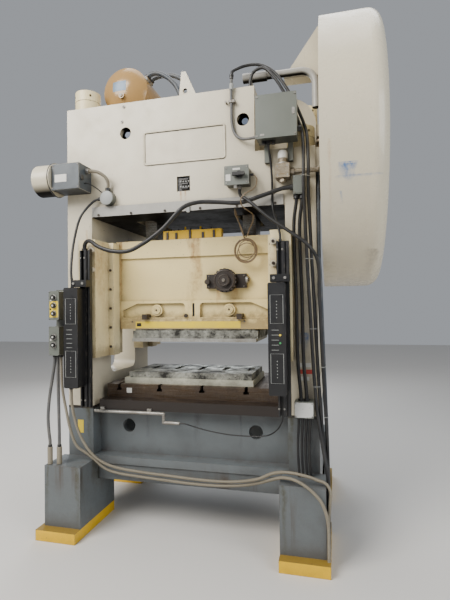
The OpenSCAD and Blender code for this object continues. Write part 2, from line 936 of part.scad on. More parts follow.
module wrist_pins() {
    color(steel)
        both_sides()
            bar_x(wrist_d, rod_x - rod_t / 2 - fork_wall, rod_x + rod_t / 2 + fork_wall,
                  0, wrist_z);
}

// Screws that carry the slide, each with a fork around a wrist pin
module adjusting_screws() {
    fork_y0 = -wrist_d / 2 - wrist_play_z - 26;
    fork_y1 = wrist_d / 2 + wrist_play_y + 26;
    fork_z0 = wrist_z - eye_d / 2 - wrist_play_z - 26;
    fork_z1 = wrist_z + wrist_d / 2 + wrist_play_z + 20;
    fork_x = rod_t / 2 + fork_gap;
    color(steel)
        both_sides()
            difference() {
                union() {
                    bar_z(screw_d, fork_z0 - screw_l, fork_z0 + eps, rod_x, 0);
                    slab([rod_x - fork_x - fork_wall, rod_x + fork_x + fork_wall],
                         [fork_y0, fork_y1], [fork_z0, fork_z1]);
                }
                slab([rod_x - fork_x, rod_x + fork_x], [fork_y0 - eps, fork_y1 + eps],
                     [fork_z0 + 26, fork_z1 + eps]);
                wrist_slot();
            }
}

// Long hole that leaves the wrist pin its sideways play
module wrist_slot() {
    slot_r = wrist_d / 2 + wrist_play_z;
    x0 = rod_x - rod_t;
    x1 = rod_x + rod_t;
    bar_x(2 * slot_r, x0, x1, 0, wrist_z);
    bar_x(2 * slot_r, x0, x1, wrist_play_y - wrist_play_z, wrist_z);
    slab([x0, x1], [0, wrist_play_y - wrist_play_z], [wrist_z - slot_r, wrist_z + slot_r]);
}

// Slide: a box with two open bays for the rods and nut posts inside
module slide() {
    floor_t = 66;
    bay_y = slide_y - slide_wall;
    post_top = wrist_z - eye_d / 2 - wrist_play_z - 26 - adjust_travel - 4;
    color(cream)
        difference() {
            union() {
                difference() {
                    slab([-slide_x, slide_x], [-slide_y, slide_y], [slide_bottom, slide_top]);
                    both_sides()
                        slab([rod_x - bay_w / 2, rod_x + bay_w / 2], [-bay_y, bay_y],
                             [slide_bottom + floor_t, slide_top + eps]);
                    slab([-rod_x + bay_w / 2 + slide_wall, rod_x - bay_w / 2 - slide_wall],
                         [-bay_y, bay_y], [slide_bottom + floor_t, slide_top - slide_wall]);
                }
                both_sides()
                    bar_z(nut_post_d, slide_bottom + floor_t - eps, post_top, rod_x, 0);
                slab([-gib_strip_x + 8, gib_strip_x - 8], [-slide_y - 12, -slide_y + eps],
                     [slide_bottom, slide_bottom + floor_t]);
                both_sides()
                    bar_y(56, -slide_y - 8, -slide_y + eps, 260, slide_bottom + 130);
            }
            both_sides()
                bar_z(screw_d + 2 * screw_gap, slide_bottom + floor_t, post_top + eps,
                      rod_x, 0);
            slide_front_panels();
        }
}

// Sunk panels on the slide's front: one wide panel and two low pockets
module slide_front_panels() {
    sunk = 15;
    pocket_sunk = 26;
    y1 = -slide_y + sunk;
    border = 30;
    slab([-slide_x + border, slide_x - border], [-slide_y - eps, y1],
         [slide_bottom + 196, slide_top - 122]);
    both_sides()
        translate([0, -slide_y + pocket_sunk, 0])
            rotate([90, 0, 0])
                linear_extrude(pocket_sunk + eps)
                    difference() {
                        polygon([
                            [54, slide_bottom + 80],
                            [slide_x - border - 20, slide_bottom + 80],
                            [slide_x - border - 20, slide_bottom + 130],
                            [slide_x - border - 130, slide_bottom + 178],
                            [74, slide_bottom + 178],
                            [60, slide_bottom + 172],
                            [54, slide_bottom + 158]
                        ]);
                        translate([260, slide_bottom + 130])
                            circle(d = 80);
                    }
    slab([0, 16], [-slide_y - eps, -slide_y + slide_wall - 6],
         [slide_bottom + 86, slide_bottom + 176]);
}

// Bronze liners around the slide's four corners
module slide_liners() {
    color(bronze)
        four_corners()
            translate([0, 0, slide_bottom + liner_inset])
                linear_extrude(slide_h - 2 * liner_inset)
                    polygon([
                        [slide_x, -slide_y + liner_side_l],
                        [slide_x, -slide_y],
                        [slide_x - liner_w, -slide_y],
                        [slide_x - liner_w, -slide_y - liner_t],
                        [slide_x + liner_t, -slide_y - liner_t],
                        [slide_x + liner_t, -slide_y + liner_side_l]
                    ]);
}

// Ribbed adjusting drive on its plate, on the front of the slide
module adjusting_drive() {
    x = 245;
    z = slide_bottom + 322;
    y0 = -slide_y + 15;
    color(dark)
        difference() {
            union() {
                slab([x - 137, x + 137], [y0 - 30, y0], [z - 50, z + 45]);
                bar_y(158, y0 - 84, y0 - 30, x, z);
                bar_y(80, y0 - 104, y0 - 84, x, z);
            }
            for (a = [0 : 20 : 340])
                translate([x, 0, z])
                    rotate([0, a, 0])
                        slab([72, 90], [y0 - 90, y0 - 44], [-5, 5]);
        }
}

// Two thin rods and their yellow yokes on top of the slide
module slide_rods() {
    yoke_h = 62;
    color(safety_yellow) {
        slab([-210, 210], [-slide_y + 8, -slide_y + 60], [slide_top, slide_top + yoke_h]);
        for (x = [-55, 55])
            bar_z(14, slide_top + yoke_h - eps, slide_top + yoke_h + 26, x, -slide_y + 34);
    }
}

// Square-headed clamps that hold the upper die
module die_clamps() {
    y = -slide_y;
    clamp_x = 318;
    color(dark)
        both_sides()
            union() {
                slab([clamp_x, clamp_x + 35], [y - 44, y],
                     [slide_bottom + 66, slide_bottom + 103]);
                slab([clamp_x, clamp_x + 35], [y - eps, y + 25.7],
                     [slide_bottom + 80.3, slide_bottom + 103]);
            }
}

module upper_die_shoe() {
    color(steel)
        union() {
            slab([-die_x + 12, die_x], [-die_y + 12, die_y - 110],
                 [slide_bottom - shoe_neck_t, slide_bottom]);
            slab([-die_x, die_x + 20], [-die_y, die_y - 100],
                 [slide_bottom - upper_shoe_t, slide_bottom - shoe_neck_t]);
        }
}

module upper_die_plate() {
    color(steel)
        slab([-die_x - 6, die_x + 8], [-die_y - 4, die_y - 104],
             [slide_bottom - upper_shoe_t - upper_die_t, slide_bottom - upper_shoe_t]);
}

// Flywheel with belt grooves and a drilled web
module flywheel() {
    r = flywheel_d / 2;
    web_x = flywheel_x + flywheel_w / 2 - web_t / 2;
    hole_r = (r - rim_t + hub_d / 2) / 2;
    color(blue_grey)
        difference() {
            union() {
                bar_x(hub_d, flywheel_x - 10, flywheel_x + flywheel_w + 10, 0, crank_z);
                bar_x(2 * r - rim_t, web_x, web_x + web_t, 0, crank_z);
                difference() {
                    bar_x(2 * r, flywheel_x, flywheel_x + flywheel_w, 0, crank_z);
                    bar_x(2 * r - 2 * rim_t, flywheel_x - eps, flywheel_x + flywheel_w + eps,
                          0, crank_z);
                }
            }
            bar_x(stub_d + 2 * journal_gap, flywheel_x - 20, flywheel_x + flywheel_w + 20,
                  0, crank_z);
            for (a = [0 : 60 : 300])
                translate([web_x - eps, 0, crank_z])
                    rotate([a, 0, 0])
                        translate([0, 0, hole_r])
                            rotate([0, 90, 0])
                                cylinder(d = 130, h = web_t + 2 * eps);
            belt_grooves(r, 0, crank_z);
        }
}

// Grooves for the belts in a rim of radius r
module belt_grooves(r, y, z) {
    for (k = [0 : belt_n - 1]) {
        x0 = belt_first_x + k * belt_pitch - belt_gap;
        difference() {
            bar_x(2 * r + 2, x0, x0 + belt_w + 2 * belt_gap, y, z);
            bar_x(2 * (r - groove_d), x0 - eps, x0 + belt_w + 2 * belt_gap + eps, y, z);
        }
    }
}

// Flywheel guard: a drum of sheet with a rounded outer edge
module flywheel_guard() {
    t = guard_t;
    r = guard_r;
    c = guard_corner_r;
    color(cream)
        difference() {
            translate([guard_x, 0, crank_z])
                rotate([0, 90, 0])
                    rotate_extrude($fn = 128)
                        guard_profile(r, c, guard_w);
            translate([guard_x + t, 0, crank_z])
                rotate([0, 90, 0])
                    rotate_extrude($fn = 128)
                        guard_profile(r - t, c - t, guard_w - 2 * t);
            bar_x(clutch_hole_d, guard_x - eps, guard_x + t + eps, 0, crank_z);
            bar_x(motor_shaft_d + 24, guard_x - eps, guard_x + t + eps, motor_y, motor_z);
            bar_x(2 * r - 2 * guard_lip - 2, guard_x + guard_w, guard_x + guard_w + 2, 0, crank_z);
        }
}

// Half section of the guard: a flat lip at the press, a round corner outside
module guard_profile(r, c, w) {
    square([r - c, w]);
    square([r, w - c]);
    translate([r - c, w - c])
        circle(r = c);
}

// Pads between crown and guard, and the braced plate at the guard's front
module guard_brackets() {
    gusset_y = pipe_y + 40;
    gusset_z = crown_top + 96;
    gusset_h = 300;
    gusset_x = 650;
    color(cream) {
        front_and_rear()
            slab([side, guard_x], [front + 10, front + 110], [ledge_z - 130, ledge_z - 10]);
        front_and_rear()
            slab([side, guard_x], [-neck_d / 2 + 10, -neck_d / 2 + 60],
                 [crown_top - 270, crown_top - neck_corner_r]);
        translate([0, gusset_y + 10, 0])
            rotate([90, 0, 0])
                linear_extrude(10)
                    polygon([
                        [gusset_x, gusset_z],
                        [guard_x, gusset_z],
                        [guard_x, gusset_z + gusset_h],
                        [guard_x - 14, gusset_z + gusset_h]
                    ]);
        slab([gusset_x, guard_x], [gusset_y, gusset_y + 90], [gusset_z - 10, gusset_z]);
    }
}

// Shelf on the crown's rear that carries the motor
module motor_bracket() {
    y0 = -front;
    y1 = motor_y + motor_d / 2 + 20;
    z1 = motor_z - motor_axis_h;
    color(cream) {
        slab([motor_x - 10, motor_x + motor_l - 20], [y0, y0 + shelf_t],
             [z1 - 200, z1]);
        slab([motor_x - 10, motor_x + motor_l - 20], [y0, y1], [z1 - shelf_t, z1]);
        for (x = [motor_x + 10, motor_x + motor_l - 60])
            translate([x, 0, 0])
                rotate([90, 0, 90])
                    linear_extrude(16)
                        polygon([
                            [y0 + shelf_t - eps, z1 - shelf_t + eps],
                            [y1 - 20, z1 - shelf_t + eps],
                            [y0 + shelf_t - eps, z1 - 200]
                        ]);
    }
}

// Foot-mounted motor with cooling ribs, fan cowl and terminal box
module motor() {
    x0 = motor_x;
    x1 = motor_x + motor_l;
    z1 = motor_z - motor_axis_h;
    color(blue_grey)
        difference() {
            union() {
                bar_x(motor_d - 30, x0 + 60, x1 - 20, motor_y, motor_z);
                bar_x(motor_d, x0, x0 + 70, motor_y, motor_z);
                bar_x(motor_d, x1 - 36, x1 - 20, motor_y, motor_z);
                bar_x(120, x1 - 20 - eps, x1, motor_y, motor_z);
                for (a = [0 : 15 : 345])
                    translate([x0 + 69, motor_y, motor_z])
                        rotate([a, 0, 0])
                            slab([0, motor_l - 104], [-3, 3], [motor_d / 2 - 20, motor_d / 2 - 4]);
                slab([x0 + 90, x1 - 80], [motor_y - 110, motor_y + 110], [z1, z1 + 18]);
                slab([x0 + 110, x1 - 100], [motor_y - 70, motor_y + 70],
                     [z1 + 17, motor_z - 80]);
                slab([x0 + 120, x0 + 250], [motor_y + motor_d / 2 - 30, motor_y + motor_d / 2 + 26],
                     [motor_z - 60, motor_z + 60]);
            }
            bar_x(motor_shaft_d + 0.2, x1 - 80, x1 + eps, motor_y, motor_z);
        }
}

// Motor shaft with its grooved pulley
module motor_pulley() {
    x0 = belt_first_x - 14;
    x1 = belt_first_x + (belt_n - 1) * belt_pitch + belt_w + 14;
    color(steel)
        difference() {
            union() {
                bar_x(motor_shaft_d, motor_x + motor_l - 70, x1 + 10, motor_y, motor_z);
                bar_x(2 * pulley_r, x0, x1, motor_y, motor_z);
            }
            belt_grooves(pulley_r, motor_y, motor_z);
        }
}

// Closed outline of a belt at distance dr above the groove floors
module belt_outline(dr) {
    dist = sqrt(motor_y * motor_y + (motor_z - crank_z) * (motor_z - crank_z));
    big = flywheel_d / 2 - groove_d + dr;
    small = pulley_r - groove_d + dr;
    dir = atan2(motor_z - crank_z, motor_y);
    lean = acos((big - small) / dist);
    circle(r = big);
    translate([motor_y, motor_z - crank_z])
        circle(r = small);
    polygon([
        big * [cos(dir + lean), sin(dir + lean)],
        [motor_y, motor_z - crank_z] + small * [cos(dir + lean), sin(dir + lean)],
        [motor_y, motor_z - crank_z] + small * [cos(dir - lean), sin(dir - lean)],
        big * [cos(dir - lean), sin(dir - lean)]
    ]);
}

module v_belts() {
    color(dark)
        for (k = [0 : belt_n - 1])
            translate([belt_first_x + k * belt_pitch, 0, crank_z])
                rotate([90, 0, 90])
                    linear_extrude(belt_w)
                        difference() {
                            belt_outline(belt_gap + belt_h);
                            belt_outline(belt_gap);
                        }
}

// Air tank with dished ends and two welded saddles, lying from front to rear
module air_tank() {
    color(cream) {
        for (y = [tank_y + 70, tank_y + tank_l - 110])
            slab([tank_x - 120, tank_x + 120], [y, y + 40], [crown_top, tank_z - 60]);
        bar_y(2 * tank_r, tank_y, tank_y + tank_l, tank_x, tank_z);
        translate([tank_x, tank_y, tank_z])
            rotate([90, 0, 0])
                tank_dome();
        translate([tank_x, tank_y + tank_l, tank_z])
            rotate([-90, 0, 0])
                tank_dome();
        bar_y(40, tank_y - dome_depth - 8, tank_y - dome_depth + 10, tank_x, tank_z - 60);
        for (route = [hose_route, far_hose_route])
            tank_port(route[0]);
    }
}

// Port that ends flat where a hose leaves the tank
module tank_port(p) {
    out = [p[0] - tank_x, p[2] - tank_z];
    translate([tank_x, p[1], tank_z])
        rotate([0, atan2(out[0], out[1]), 0])
            translate([0, 0, tank_r - 20])
                cylinder(d = 48, h = norm(out) - tank_r + 20);
}

// A dished end: the cap of a sphere that meets the shell's edge
module tank_dome() {
    cap_r = (tank_r * tank_r + dome_depth * dome_depth) / (2 * dome_depth);
    intersection() {
        translate([0, 0, dome_depth - cap_r])
            sphere(r = cap_r);
        translate([0, 0, -eps])
            cylinder(r = tank_r, h = dome_depth + 2 * eps);
    }
}

// Welded lug on the crown's top
module lifting_lug() {
    base_w = 155;
    base_d = 120;
    lug_h = 223;
    color(cream) {
        slab([-80, -80 + base_w], [lug_y, lug_y + base_d], [crown_top, crown_top + 30]);
        translate([0, lug_y + 40, crown_top + 29])
            rotate([90, 0, 0])
                linear_extrude(20)
                    difference() {
                        polygon([[-64, 0], [70, 0], [-14, lug_h - 30], [-44, lug_h - 30]]);
                        translate([-18, 60]) circle(d = 34);
                    }
        slab([-64, -44], [lug_y + 39, lug_y + 110], [crown_top + 29, crown_top + 110]);
    }
}

// Silencer, exhaust pipe with its bend and the hose sleeve at its end
module exhaust_pipe() {
    x0 = 390;
    x1 = 545;
    drop_z = crown_top - 140;
    color(cream) {
        bar_x(2 * muffler_r, x0, x1, pipe_y, pipe_z);
        bar_x(2 * pipe_r, x1 - eps, pipe_drop_x - pipe_bend_r, pipe_y, pipe_z);
        translate([pipe_drop_x - pipe_bend_r, pipe_y, pipe_z - pipe_bend_r])
            rotate([90, 0, 0])
                rotate_extrude(angle = 90)
                    translate([pipe_bend_r, 0])
                        circle(r = pipe_r);
        bar_z(2 * pipe_r, drop_z, pipe_z - pipe_bend_r, pipe_drop_x, pipe_y);
        slab([x0 + 40, x0 + 60], [pipe_y - 22, pipe_y + 22], [crown_top, pipe_z - 20]);
    }
}

// Grey box on the two rails that hold it in front of the crown's ledge
module electrical_box() {
    y1 = front - rail_t;
    color(grey) {
        for (x = [ebox_x + 30, ebox_x + ebox_w - 30 - rail_t])
            slab([x, x + rail_t], [y1 - eps, front], [ledge_z - 90, ebox_z + ebox_h]);
        slab([ebox_x, ebox_x + ebox_w], [y1 - ebox_d + 4, y1], [ebox_z, ebox_z + ebox_h]);
        front_plate(ebox_w + 8, ebox_h + 8, 6, ebox_x + ebox_w / 2, ebox_z + ebox_h / 2,
                    y1 - ebox_d, y1 - ebox_d + 5);
    }
}

// Air valve with its cap and the pipe to the drive side
module air_valve() {
    color(cream) {
        slab([valve_x - 42, valve_x + 42], [front - 78, front], [valve_z, valve_z + 84]);
        bar_z(58, valve_z + 83, valve_z + 120, valve_x, front - 44);
        bar_z(44, valve_z + 119, valve_z + 168, valve_x, front - 44);
        bar_z(40, valve_z - 24, valve_z + 1, valve_x, front - 44);
        bar_x(30, valve_x + 41, side + 20, front - 40, valve_z + 40);
    }
}

module disconnect_box() {
    w = disconnect_w;
    h = disconnect_h;
    color(grey)
        difference() {
            union() {
                front_plate(w, h, 6, disconnect_x, disconnect_z, front - disconnect_d, front);
                slab([disconnect_x - w / 2 - 4, disconnect_x + w / 2 + 4],
                     [front - disconnect_d - 4, front - disconnect_d + 1],
                     [disconnect_z - h / 2 - 4, disconnect_z + h / 2 + 4]);
            }
            bar_y(16 + 0.2, front - disconnect_d - 10, front - 30, disconnect_x + 20,
                  disconnect_z);
        }
}

// Rotary handle of the disconnect switch
module disconnect_handle() {
    y0 = front - disconnect_d - 4 - handle_gap;
    x = disconnect_x + 20;
    color(dark) {
        bar_y(16, y0, front - 40, x, disconnect_z);
        bar_y(44, y0 - 12, y0, x, disconnect_z);
        slab([x - 40, x + 34], [y0 - 34, y0 - 11], [disconnect_z - 10, disconnect_z + 10]);
    }
}

// Junction boxes on the crown and on the right upright
module junction_boxes() {
    color(grey) {
        slab([upper_box_x, upper_box_x + 70], [front - 80, front],
             [crown_bottom + 40, crown_bottom + 152]);
        bar_y(round_box_d, front - 45, front, round_box_x, round_box_z);
        slab([low_box_x, low_box_x + 110], [front - 92, front],
             [upright_z + 8, upright_z + 102]);
    }
}

// Cam switch box and the round cover of its drive
module cam_switch_box() {
    y0 = front - cam_box_d;
    mid_y = front - cam_box_d / 2;
    mid_z = cam_box_z + cam_box_h / 2;
    color(grey) {
        slab([cam_box_x, cam_box_x + cam_box_w], [y0, front],
             [cam_box_z, cam_box_z + cam_box_h]);
        bar_x(2 * cam_drum_r + 14, cam_box_x - 14, cam_box_x, mid_y, mid_z);
        bar_x(2 * cam_drum_r, cam_box_x - cam_drum_l, cam_box_x - 13, mid_y, mid_z);
    }
}

// Slotted posts in front of the gibs that carry the light curtains
module curtain_posts() {
    y1 = front - gib_block_out;
    color(dark)
        both_sides()
            difference() {
                slab([post_x - post_w / 2, post_x + post_w / 2], [y1 - post_t, y1],
                     [post_bottom, post_bottom + post_h]);
                slab([post_x - 10, post_x + 10], [y1 - post_t - eps, y1 - post_t + 30],
                     [post_bottom - eps, post_bottom + post_h + eps]);
            }
}

module light_curtains() {
    y1 = front - gib_block_out - post_t;
    color(dark)
        for (x = [-post_x - curtain_out, post_x - curtain_in])
            front_plate(curtain_w, curtain_h, 10, x, curtain_z + curtain_h / 2,
                        y1 - curtain_d, y1);
}

// Plate on two stand-offs that carries the push button boxes
module button_bracket() {
    y0 = front - 112;
    color(grey) {
        slab([button_x - 38, button_x + 60], [y0, y0 + button_plate_t],
             [lower_box_z - 10, upper_box_z + button_box_h + 10]);
        for (z = [lower_box_z + 40, upper_box_z + 140])
            bar_y(26, y0 + button_plate_t - eps, front, button_x + 30, z);
    }
}

module button_box(z0, count) {
    y1 = front - 112;
    difference() {
        front_plate(button_box_w, button_box_h, 8, button_x, z0 + button_box_h / 2,
                    y1 - button_box_d, y1);
        for (k = [0 : count - 1])
            bar_y(button_d - 6 + 2 * stem_gap, y1 - button_box_d - eps, y1 - button_box_d + 30, button_x,
                  button_z(z0, count, k));
    }
}

function button_z(z0, count, k) = z0 + button_box_h / 2 + (k - (count - 1) / 2) * button_pitch;

module button_boxes() {
    color(grey) {
        button_box(upper_box_z, 3);
        button_box(lower_box_z, 2);
    }
}

// One push button: a mushroom head on a plain stem
module push_button(z0, count, k) {
    y0 = front - 112 - button_box_d;
    z = button_z(z0, count, k);
    bar_y(button_d, y0 - button_travel - 12, y0 - button_travel - 1, button_x, z);
    bar_y(button_d - 6, y0 - button_travel - 2, y0 + 20, button_x, z);
}

module upper_button_1() {
    color("firebrick") push_button(upper_box_z, 3, 0);
}

module upper_button_2() {
    color("black") push_button(upper_box_z, 3, 1);
}

module upper_button_3() {
    color("green") push_button(upper_box_z, 3, 2);
}

module lower_button_1() {
    color("black") push_button(lower_box_z, 2, 0);
}

module lower_button_2() {
    color("green") push_button(lower_box_z, 2, 1);
}

// Thin pipe along the front of the table
module bed_pipe() {
    z = table_top - table_t - 12;
    y = front - 12;
    elbow_x = -143;
    elbow_drop = 56;
    color(blue_grey) {
        bar_x(22, -inner + 20, elbow_x, y, z);
        translate([elbow_x, y, z])
            sphere(d = 22);
        bar_z(22, z - elbow_drop, z, elbow_x, y);
        translate([elbow_x, y, z - elbow_drop])
            sphere(d = 22);
        bar_x(22, elbow_x, elbow_x + 110, y, z - elbow_drop);
        for (x = [-inner + 60, -260])
            slab([x, x + 30], [y, front], [z - 8, z + 28]);
    }
}

// A cable swept along its route, with a ring of sides at each point
module cable(route, d, sides = 8) {
    n = len(route);
    points = [for (i = [0 : n - 1]) each ring(route, i, d / 2, sides)];
    walls = [for (i = [0 : n - 2], k = [0 : sides - 1])
        [i * sides + k, i * sides + (k + 1) % sides,
         (i + 1) * sides + (k + 1) % sides, (i + 1) * sides + k]];
    start_cap = [for (k = [sides - 1 : -1 : 0]) k];
    end_cap = [for (k = [0 : sides - 1]) (n - 1) * sides + k];
    polyhedron(points = points, faces = concat(walls, [start_cap], [end_cap]));
}

function unit(v) = v / norm(v);

// Direction of the route at point i
function heading(route, i) =
    unit(route[min(i + 1, len(route) - 1)] - route[max(i - 1, 0)]);

// One ring of points square to the route at point i
function ring(route, i, r, sides) =
    let (t = heading(route, i), u = unit(cross([0, 1, 0.02], t)), v = cross(t, u))
    [for (k = [0 : sides - 1])
        route[i] + r * (cos(360 * k / sides) * u + sin(360 * k / sides) * v)];

// A route moved sideways
function shifted(route, by) = [for (p = route) p + by];

// Cables across the crown and the thin conduits beside the grey box
module crown_cables() {
    translate([0, front - routes_front, 0]) {
        color(dark) {
            cable(span_route, 26);
            cable(switch_route, 20);
            cable(drop_route, 20);
            cable(inner_drop_route, 20);
            cable(box_drop_route, 14);
            cable(blue_hose_route, 20);
        }
        color(grey)
            cable(loop_route, 18);
        color(cream)
            cable(tan_lead_route, 7, sides = 6);
    }
}

// Leads at the cam switch box, conduits from the button boxes along the bed to the
// right foot, and two that end in sealed sleeves on the left leg
module left_cables() {
    translate([0, front - routes_front, 0]) {
        color(cream) {
            cable(cam_conduit_route, 24);
            cable(wide_conduit_route, 20);
            cable(curtain_conduit_route, 20);
            cable(left_sleeve_route, 34, sides = 12);
            cable(shifted(left_sleeve_route, [58, 15, 0]), 34, sides = 12);
        }
        color(grey) {
            cable(left_drop_route, 20);
            cable(second_drop_route, 20);
        }
        color(dark) {
            cable(curtain_lead_route, 16);
            cable(cam_lead_route, 8);
            cable(bed_wire_route, 8, sides = 6);
        }
    }
}

// Cables down the right upright, from the upper box to the lower one and the leg
module right_cables() {
    translate([0, front - routes_front, 0]) {
        color(dark) {
            for (k = [0 : 1])
                cable(shifted(riser_route, [34 * k, 0, 0]), 24);
            for (k = [0 : 3])
                cable(shifted(leg_route, [22 * k, 0, 0]), 14);
        }
    }
}

// Two hoses from the air tank down to the crown's top
module air_hoses() {
    color(blue_grey) {
        cable(hose_route, 34);
        cable(far_hose_route, 34);
    }
}

crown();
crown_strip();
shut_height_counter();
left_upright();
right_upright();
bed();
foot_pads();
tie_rods();
tie_rod_nuts();
bolster();
lower_die_shoe();
lower_die_plate();
front_gibs();
rear_gibs();
gib_bolts();
main_bearings();
bearing_cover();
crankshaft();
clutch_drum();
connecting_rods();
rod_caps();
wrist_pins();
adjusting_screws();
slide();
slide_liners();
adjusting_drive();
slide_rods();
die_clamps();
upper_die_shoe();
upper_die_plate();
flywheel();
flywheel_guard();
guard_brackets();
motor_bracket();
motor();
motor_pulley();
v_belts();
air_tank();
lifting_lug();
exhaust_pipe();
electrical_box();
air_valve();
disconnect_box();
disconnect_handle();
junction_boxes();
cam_switch_box();
curtain_posts();
light_curtains();
button_bracket();
button_boxes();
upper_button_1();
upper_button_2();
upper_button_3();
lower_button_1();
lower_button_2();
bed_pipe();
crown_cables();
left_cables();
right_cables();
air_hoses();
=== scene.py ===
"""Looks for a straight-side mechanical stamping press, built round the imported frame.

The cords' routes and radii and the rows that Piece.fit takes are in millimetres. All else
is in metres, with X across, -Y to the front and Z up.
"""

import math

import bmesh
import bpy
from bpy.props import FloatProperty, FloatVectorProperty, PointerProperty
from mathutils import Matrix, Vector
from mathutils.bvhtree import BVHTree


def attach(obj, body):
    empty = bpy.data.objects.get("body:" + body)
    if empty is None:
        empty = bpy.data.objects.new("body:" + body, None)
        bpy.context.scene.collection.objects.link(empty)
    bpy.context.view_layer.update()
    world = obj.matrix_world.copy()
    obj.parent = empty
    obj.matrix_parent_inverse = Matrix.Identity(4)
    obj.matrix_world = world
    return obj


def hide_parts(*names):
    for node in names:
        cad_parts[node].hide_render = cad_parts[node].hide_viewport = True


bl_info = {
    "name": "Stamping Press Looks",
    "version": (1, 0, 0),
    "blender": (4, 5, 0),
    "location": "3D View > Sidebar > Press",
    "description": "Builds the finishes, fittings and cables of a mechanical stamping press",
    "category": "Object",
}

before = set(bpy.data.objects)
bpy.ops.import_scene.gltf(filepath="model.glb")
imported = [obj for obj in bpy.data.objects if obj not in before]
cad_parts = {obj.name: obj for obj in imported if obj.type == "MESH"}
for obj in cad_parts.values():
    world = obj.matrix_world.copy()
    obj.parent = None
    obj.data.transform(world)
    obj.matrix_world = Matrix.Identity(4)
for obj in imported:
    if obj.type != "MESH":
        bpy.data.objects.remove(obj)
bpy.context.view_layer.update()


# Settings


def colour_prop(name, description, value):
    return FloatVectorProperty(
        name=name, description=description, default=(*value, 1.0),
        size=4, min=0.0, max=1.0, subtype="COLOR",
    )


def share_prop(name, description, value):
    return FloatProperty(
        name=name, description=description, default=value, min=0.0, max=1.0, subtype="FACTOR"
    )


class PressPaint(bpy.types.PropertyGroup):
    """Colours of the painted parts"""

    cream: colour_prop("Cream", "Crown and guard enamel", (0.58, 0.52, 0.39))
    aged_cream: colour_prop("Aged cream", "Slide and gib enamel", (0.80, 0.63, 0.29))
    tan: colour_prop("Tan", "Air tank enamel", (0.34, 0.20, 0.070))
    blue_grey: colour_prop("Blue grey", "Bed and leg enamel", (0.102, 0.117, 0.125))
    grey: colour_prop("Grey", "Electrical boxes", (0.125, 0.138, 0.122))
    yellow: colour_prop("Yellow", "Feet and safety marks", (0.80, 0.46, 0.0))
    oil: colour_prop("Oil", "Black oil and grime", (0.055, 0.032, 0.016))
    rust: colour_prop("Rust", "Rust runs", (0.40, 0.20, 0.05))


class PressWear(bpy.types.PropertyGroup):
    """How worn the press looks"""

    streaks: share_prop("Streaks", "Strength of the oil runs on the painted parts", 0.6)
    chips: share_prop("Chips", "Share of the paint that is chipped off", 0.45)


class PressStage(bpy.types.PropertyGroup):
    """Floor, lights and camera"""

    lens: FloatProperty(
        name="Lens", description="Focal length of the camera in millimetres", default=26.2, min=10.0
    )
    key_power: FloatProperty(
        name="Key light", description="Power of the main light", default=560.0, min=0.0
    )
    fill_power: FloatProperty(
        name="Fill light", description="Power of the side light", default=140.0, min=0.0
    )
    floor: colour_prop("Floor", "Colour of the floor", (0.62, 0.60, 0.57))


# Node tools


class Tree:
    """Adds nodes to a node tree, with short names for the usual ones"""

    def __init__(self, tree, prefix="ShaderNode"):
        self.tree = tree
        self.prefix = prefix

    def put(self, made, values):
        """Set a node's inputs, by a link where the value is a socket"""
        for key, value in values.items():
            if isinstance(value, bpy.types.NodeSocket):
                self.tree.links.new(value, made.inputs[key])
            else:
                made.inputs[key].default_value = value
        return made

    def node(self, kind, values=None, **settings):
        made = self.tree.nodes.new(kind if "Node" in kind else self.prefix + kind)
        for key, value in settings.items():
            setattr(made, key, value)
        return self.put(made, values or {})

    def math(self, operation, a, b=0.0, clamp=False):
        return self.node("Math", {0: a, 1: b}, operation=operation, use_clamp=clamp).outputs[0]

    def add(self, a, b, clamp=False):
        return self.math("ADD", a, b, clamp)

    def minus(self, a, b):
        return self.math("SUBTRACT", a, b)

    def mul(self, a, b, clamp=False):
        return self.math("MULTIPLY", a, b, clamp)

    def span(self, value, low, high, to_low=0.0, to_high=1.0):
        ends = {"From Min": low, "From Max": high, "To Min": to_low, "To Max": to_high}
        return self.node("MapRange", {"Value": value, **ends}).outputs[0]

    def mix(self, factor, a, b, mode="MIX"):
        values = {0: factor, 6: a, 7: b}
        return self.node("Mix", values, data_type="RGBA", blend_type=mode).outputs[2]


class Group(Tree):
    """A node group, from its inputs by label, with a default or the kind of socket each"""

    def __init__(self, name, inputs, kind="Shader"):
        super().__init__(bpy.data.node_groups.new(name, kind + "NodeTree"), kind + "Node")
        main = {"Shader": "Vector", "Geometry": "Geometry"}[kind]
        for label, value in {main: main, **inputs}.items():
            if isinstance(value, str):
                self.socket(label, "INPUT", value)
            else:
                sort = "Float" if isinstance(value, float) else "Color"
                self.socket(label, "INPUT", sort).default_value = value
        self.given = self.tree.nodes.new("NodeGroupInput").outputs
        self.where = self.given[0]

    def __getitem__(self, label):
        return self.given[label]

    def socket(self, label, way, sort):
        return self.tree.interface.new_socket(
            label, in_out=way, socket_type="NodeSocket" + sort
        )

    def noise(self, scale, detail=4.0, rough=0.55, stretch=None):
        where = self.where
        if stretch is not None:
            where = self.node("Mapping", {"Vector": where, "Scale": stretch}).outputs[0]
        values = {"Vector": where, "Scale": scale, "Detail": detail, "Roughness": rough}
        return self.node("TexNoise", values).outputs["Fac"]

    def close(self, **results):
        """Give the group its outputs"""
        for label in results:
            self.socket(label, "OUTPUT", label if label in ("Color", "Geometry") else "Float")
        self.put(self.tree.nodes.new("NodeGroupOutput"), results)
        return self.tree


# Shared shader groups


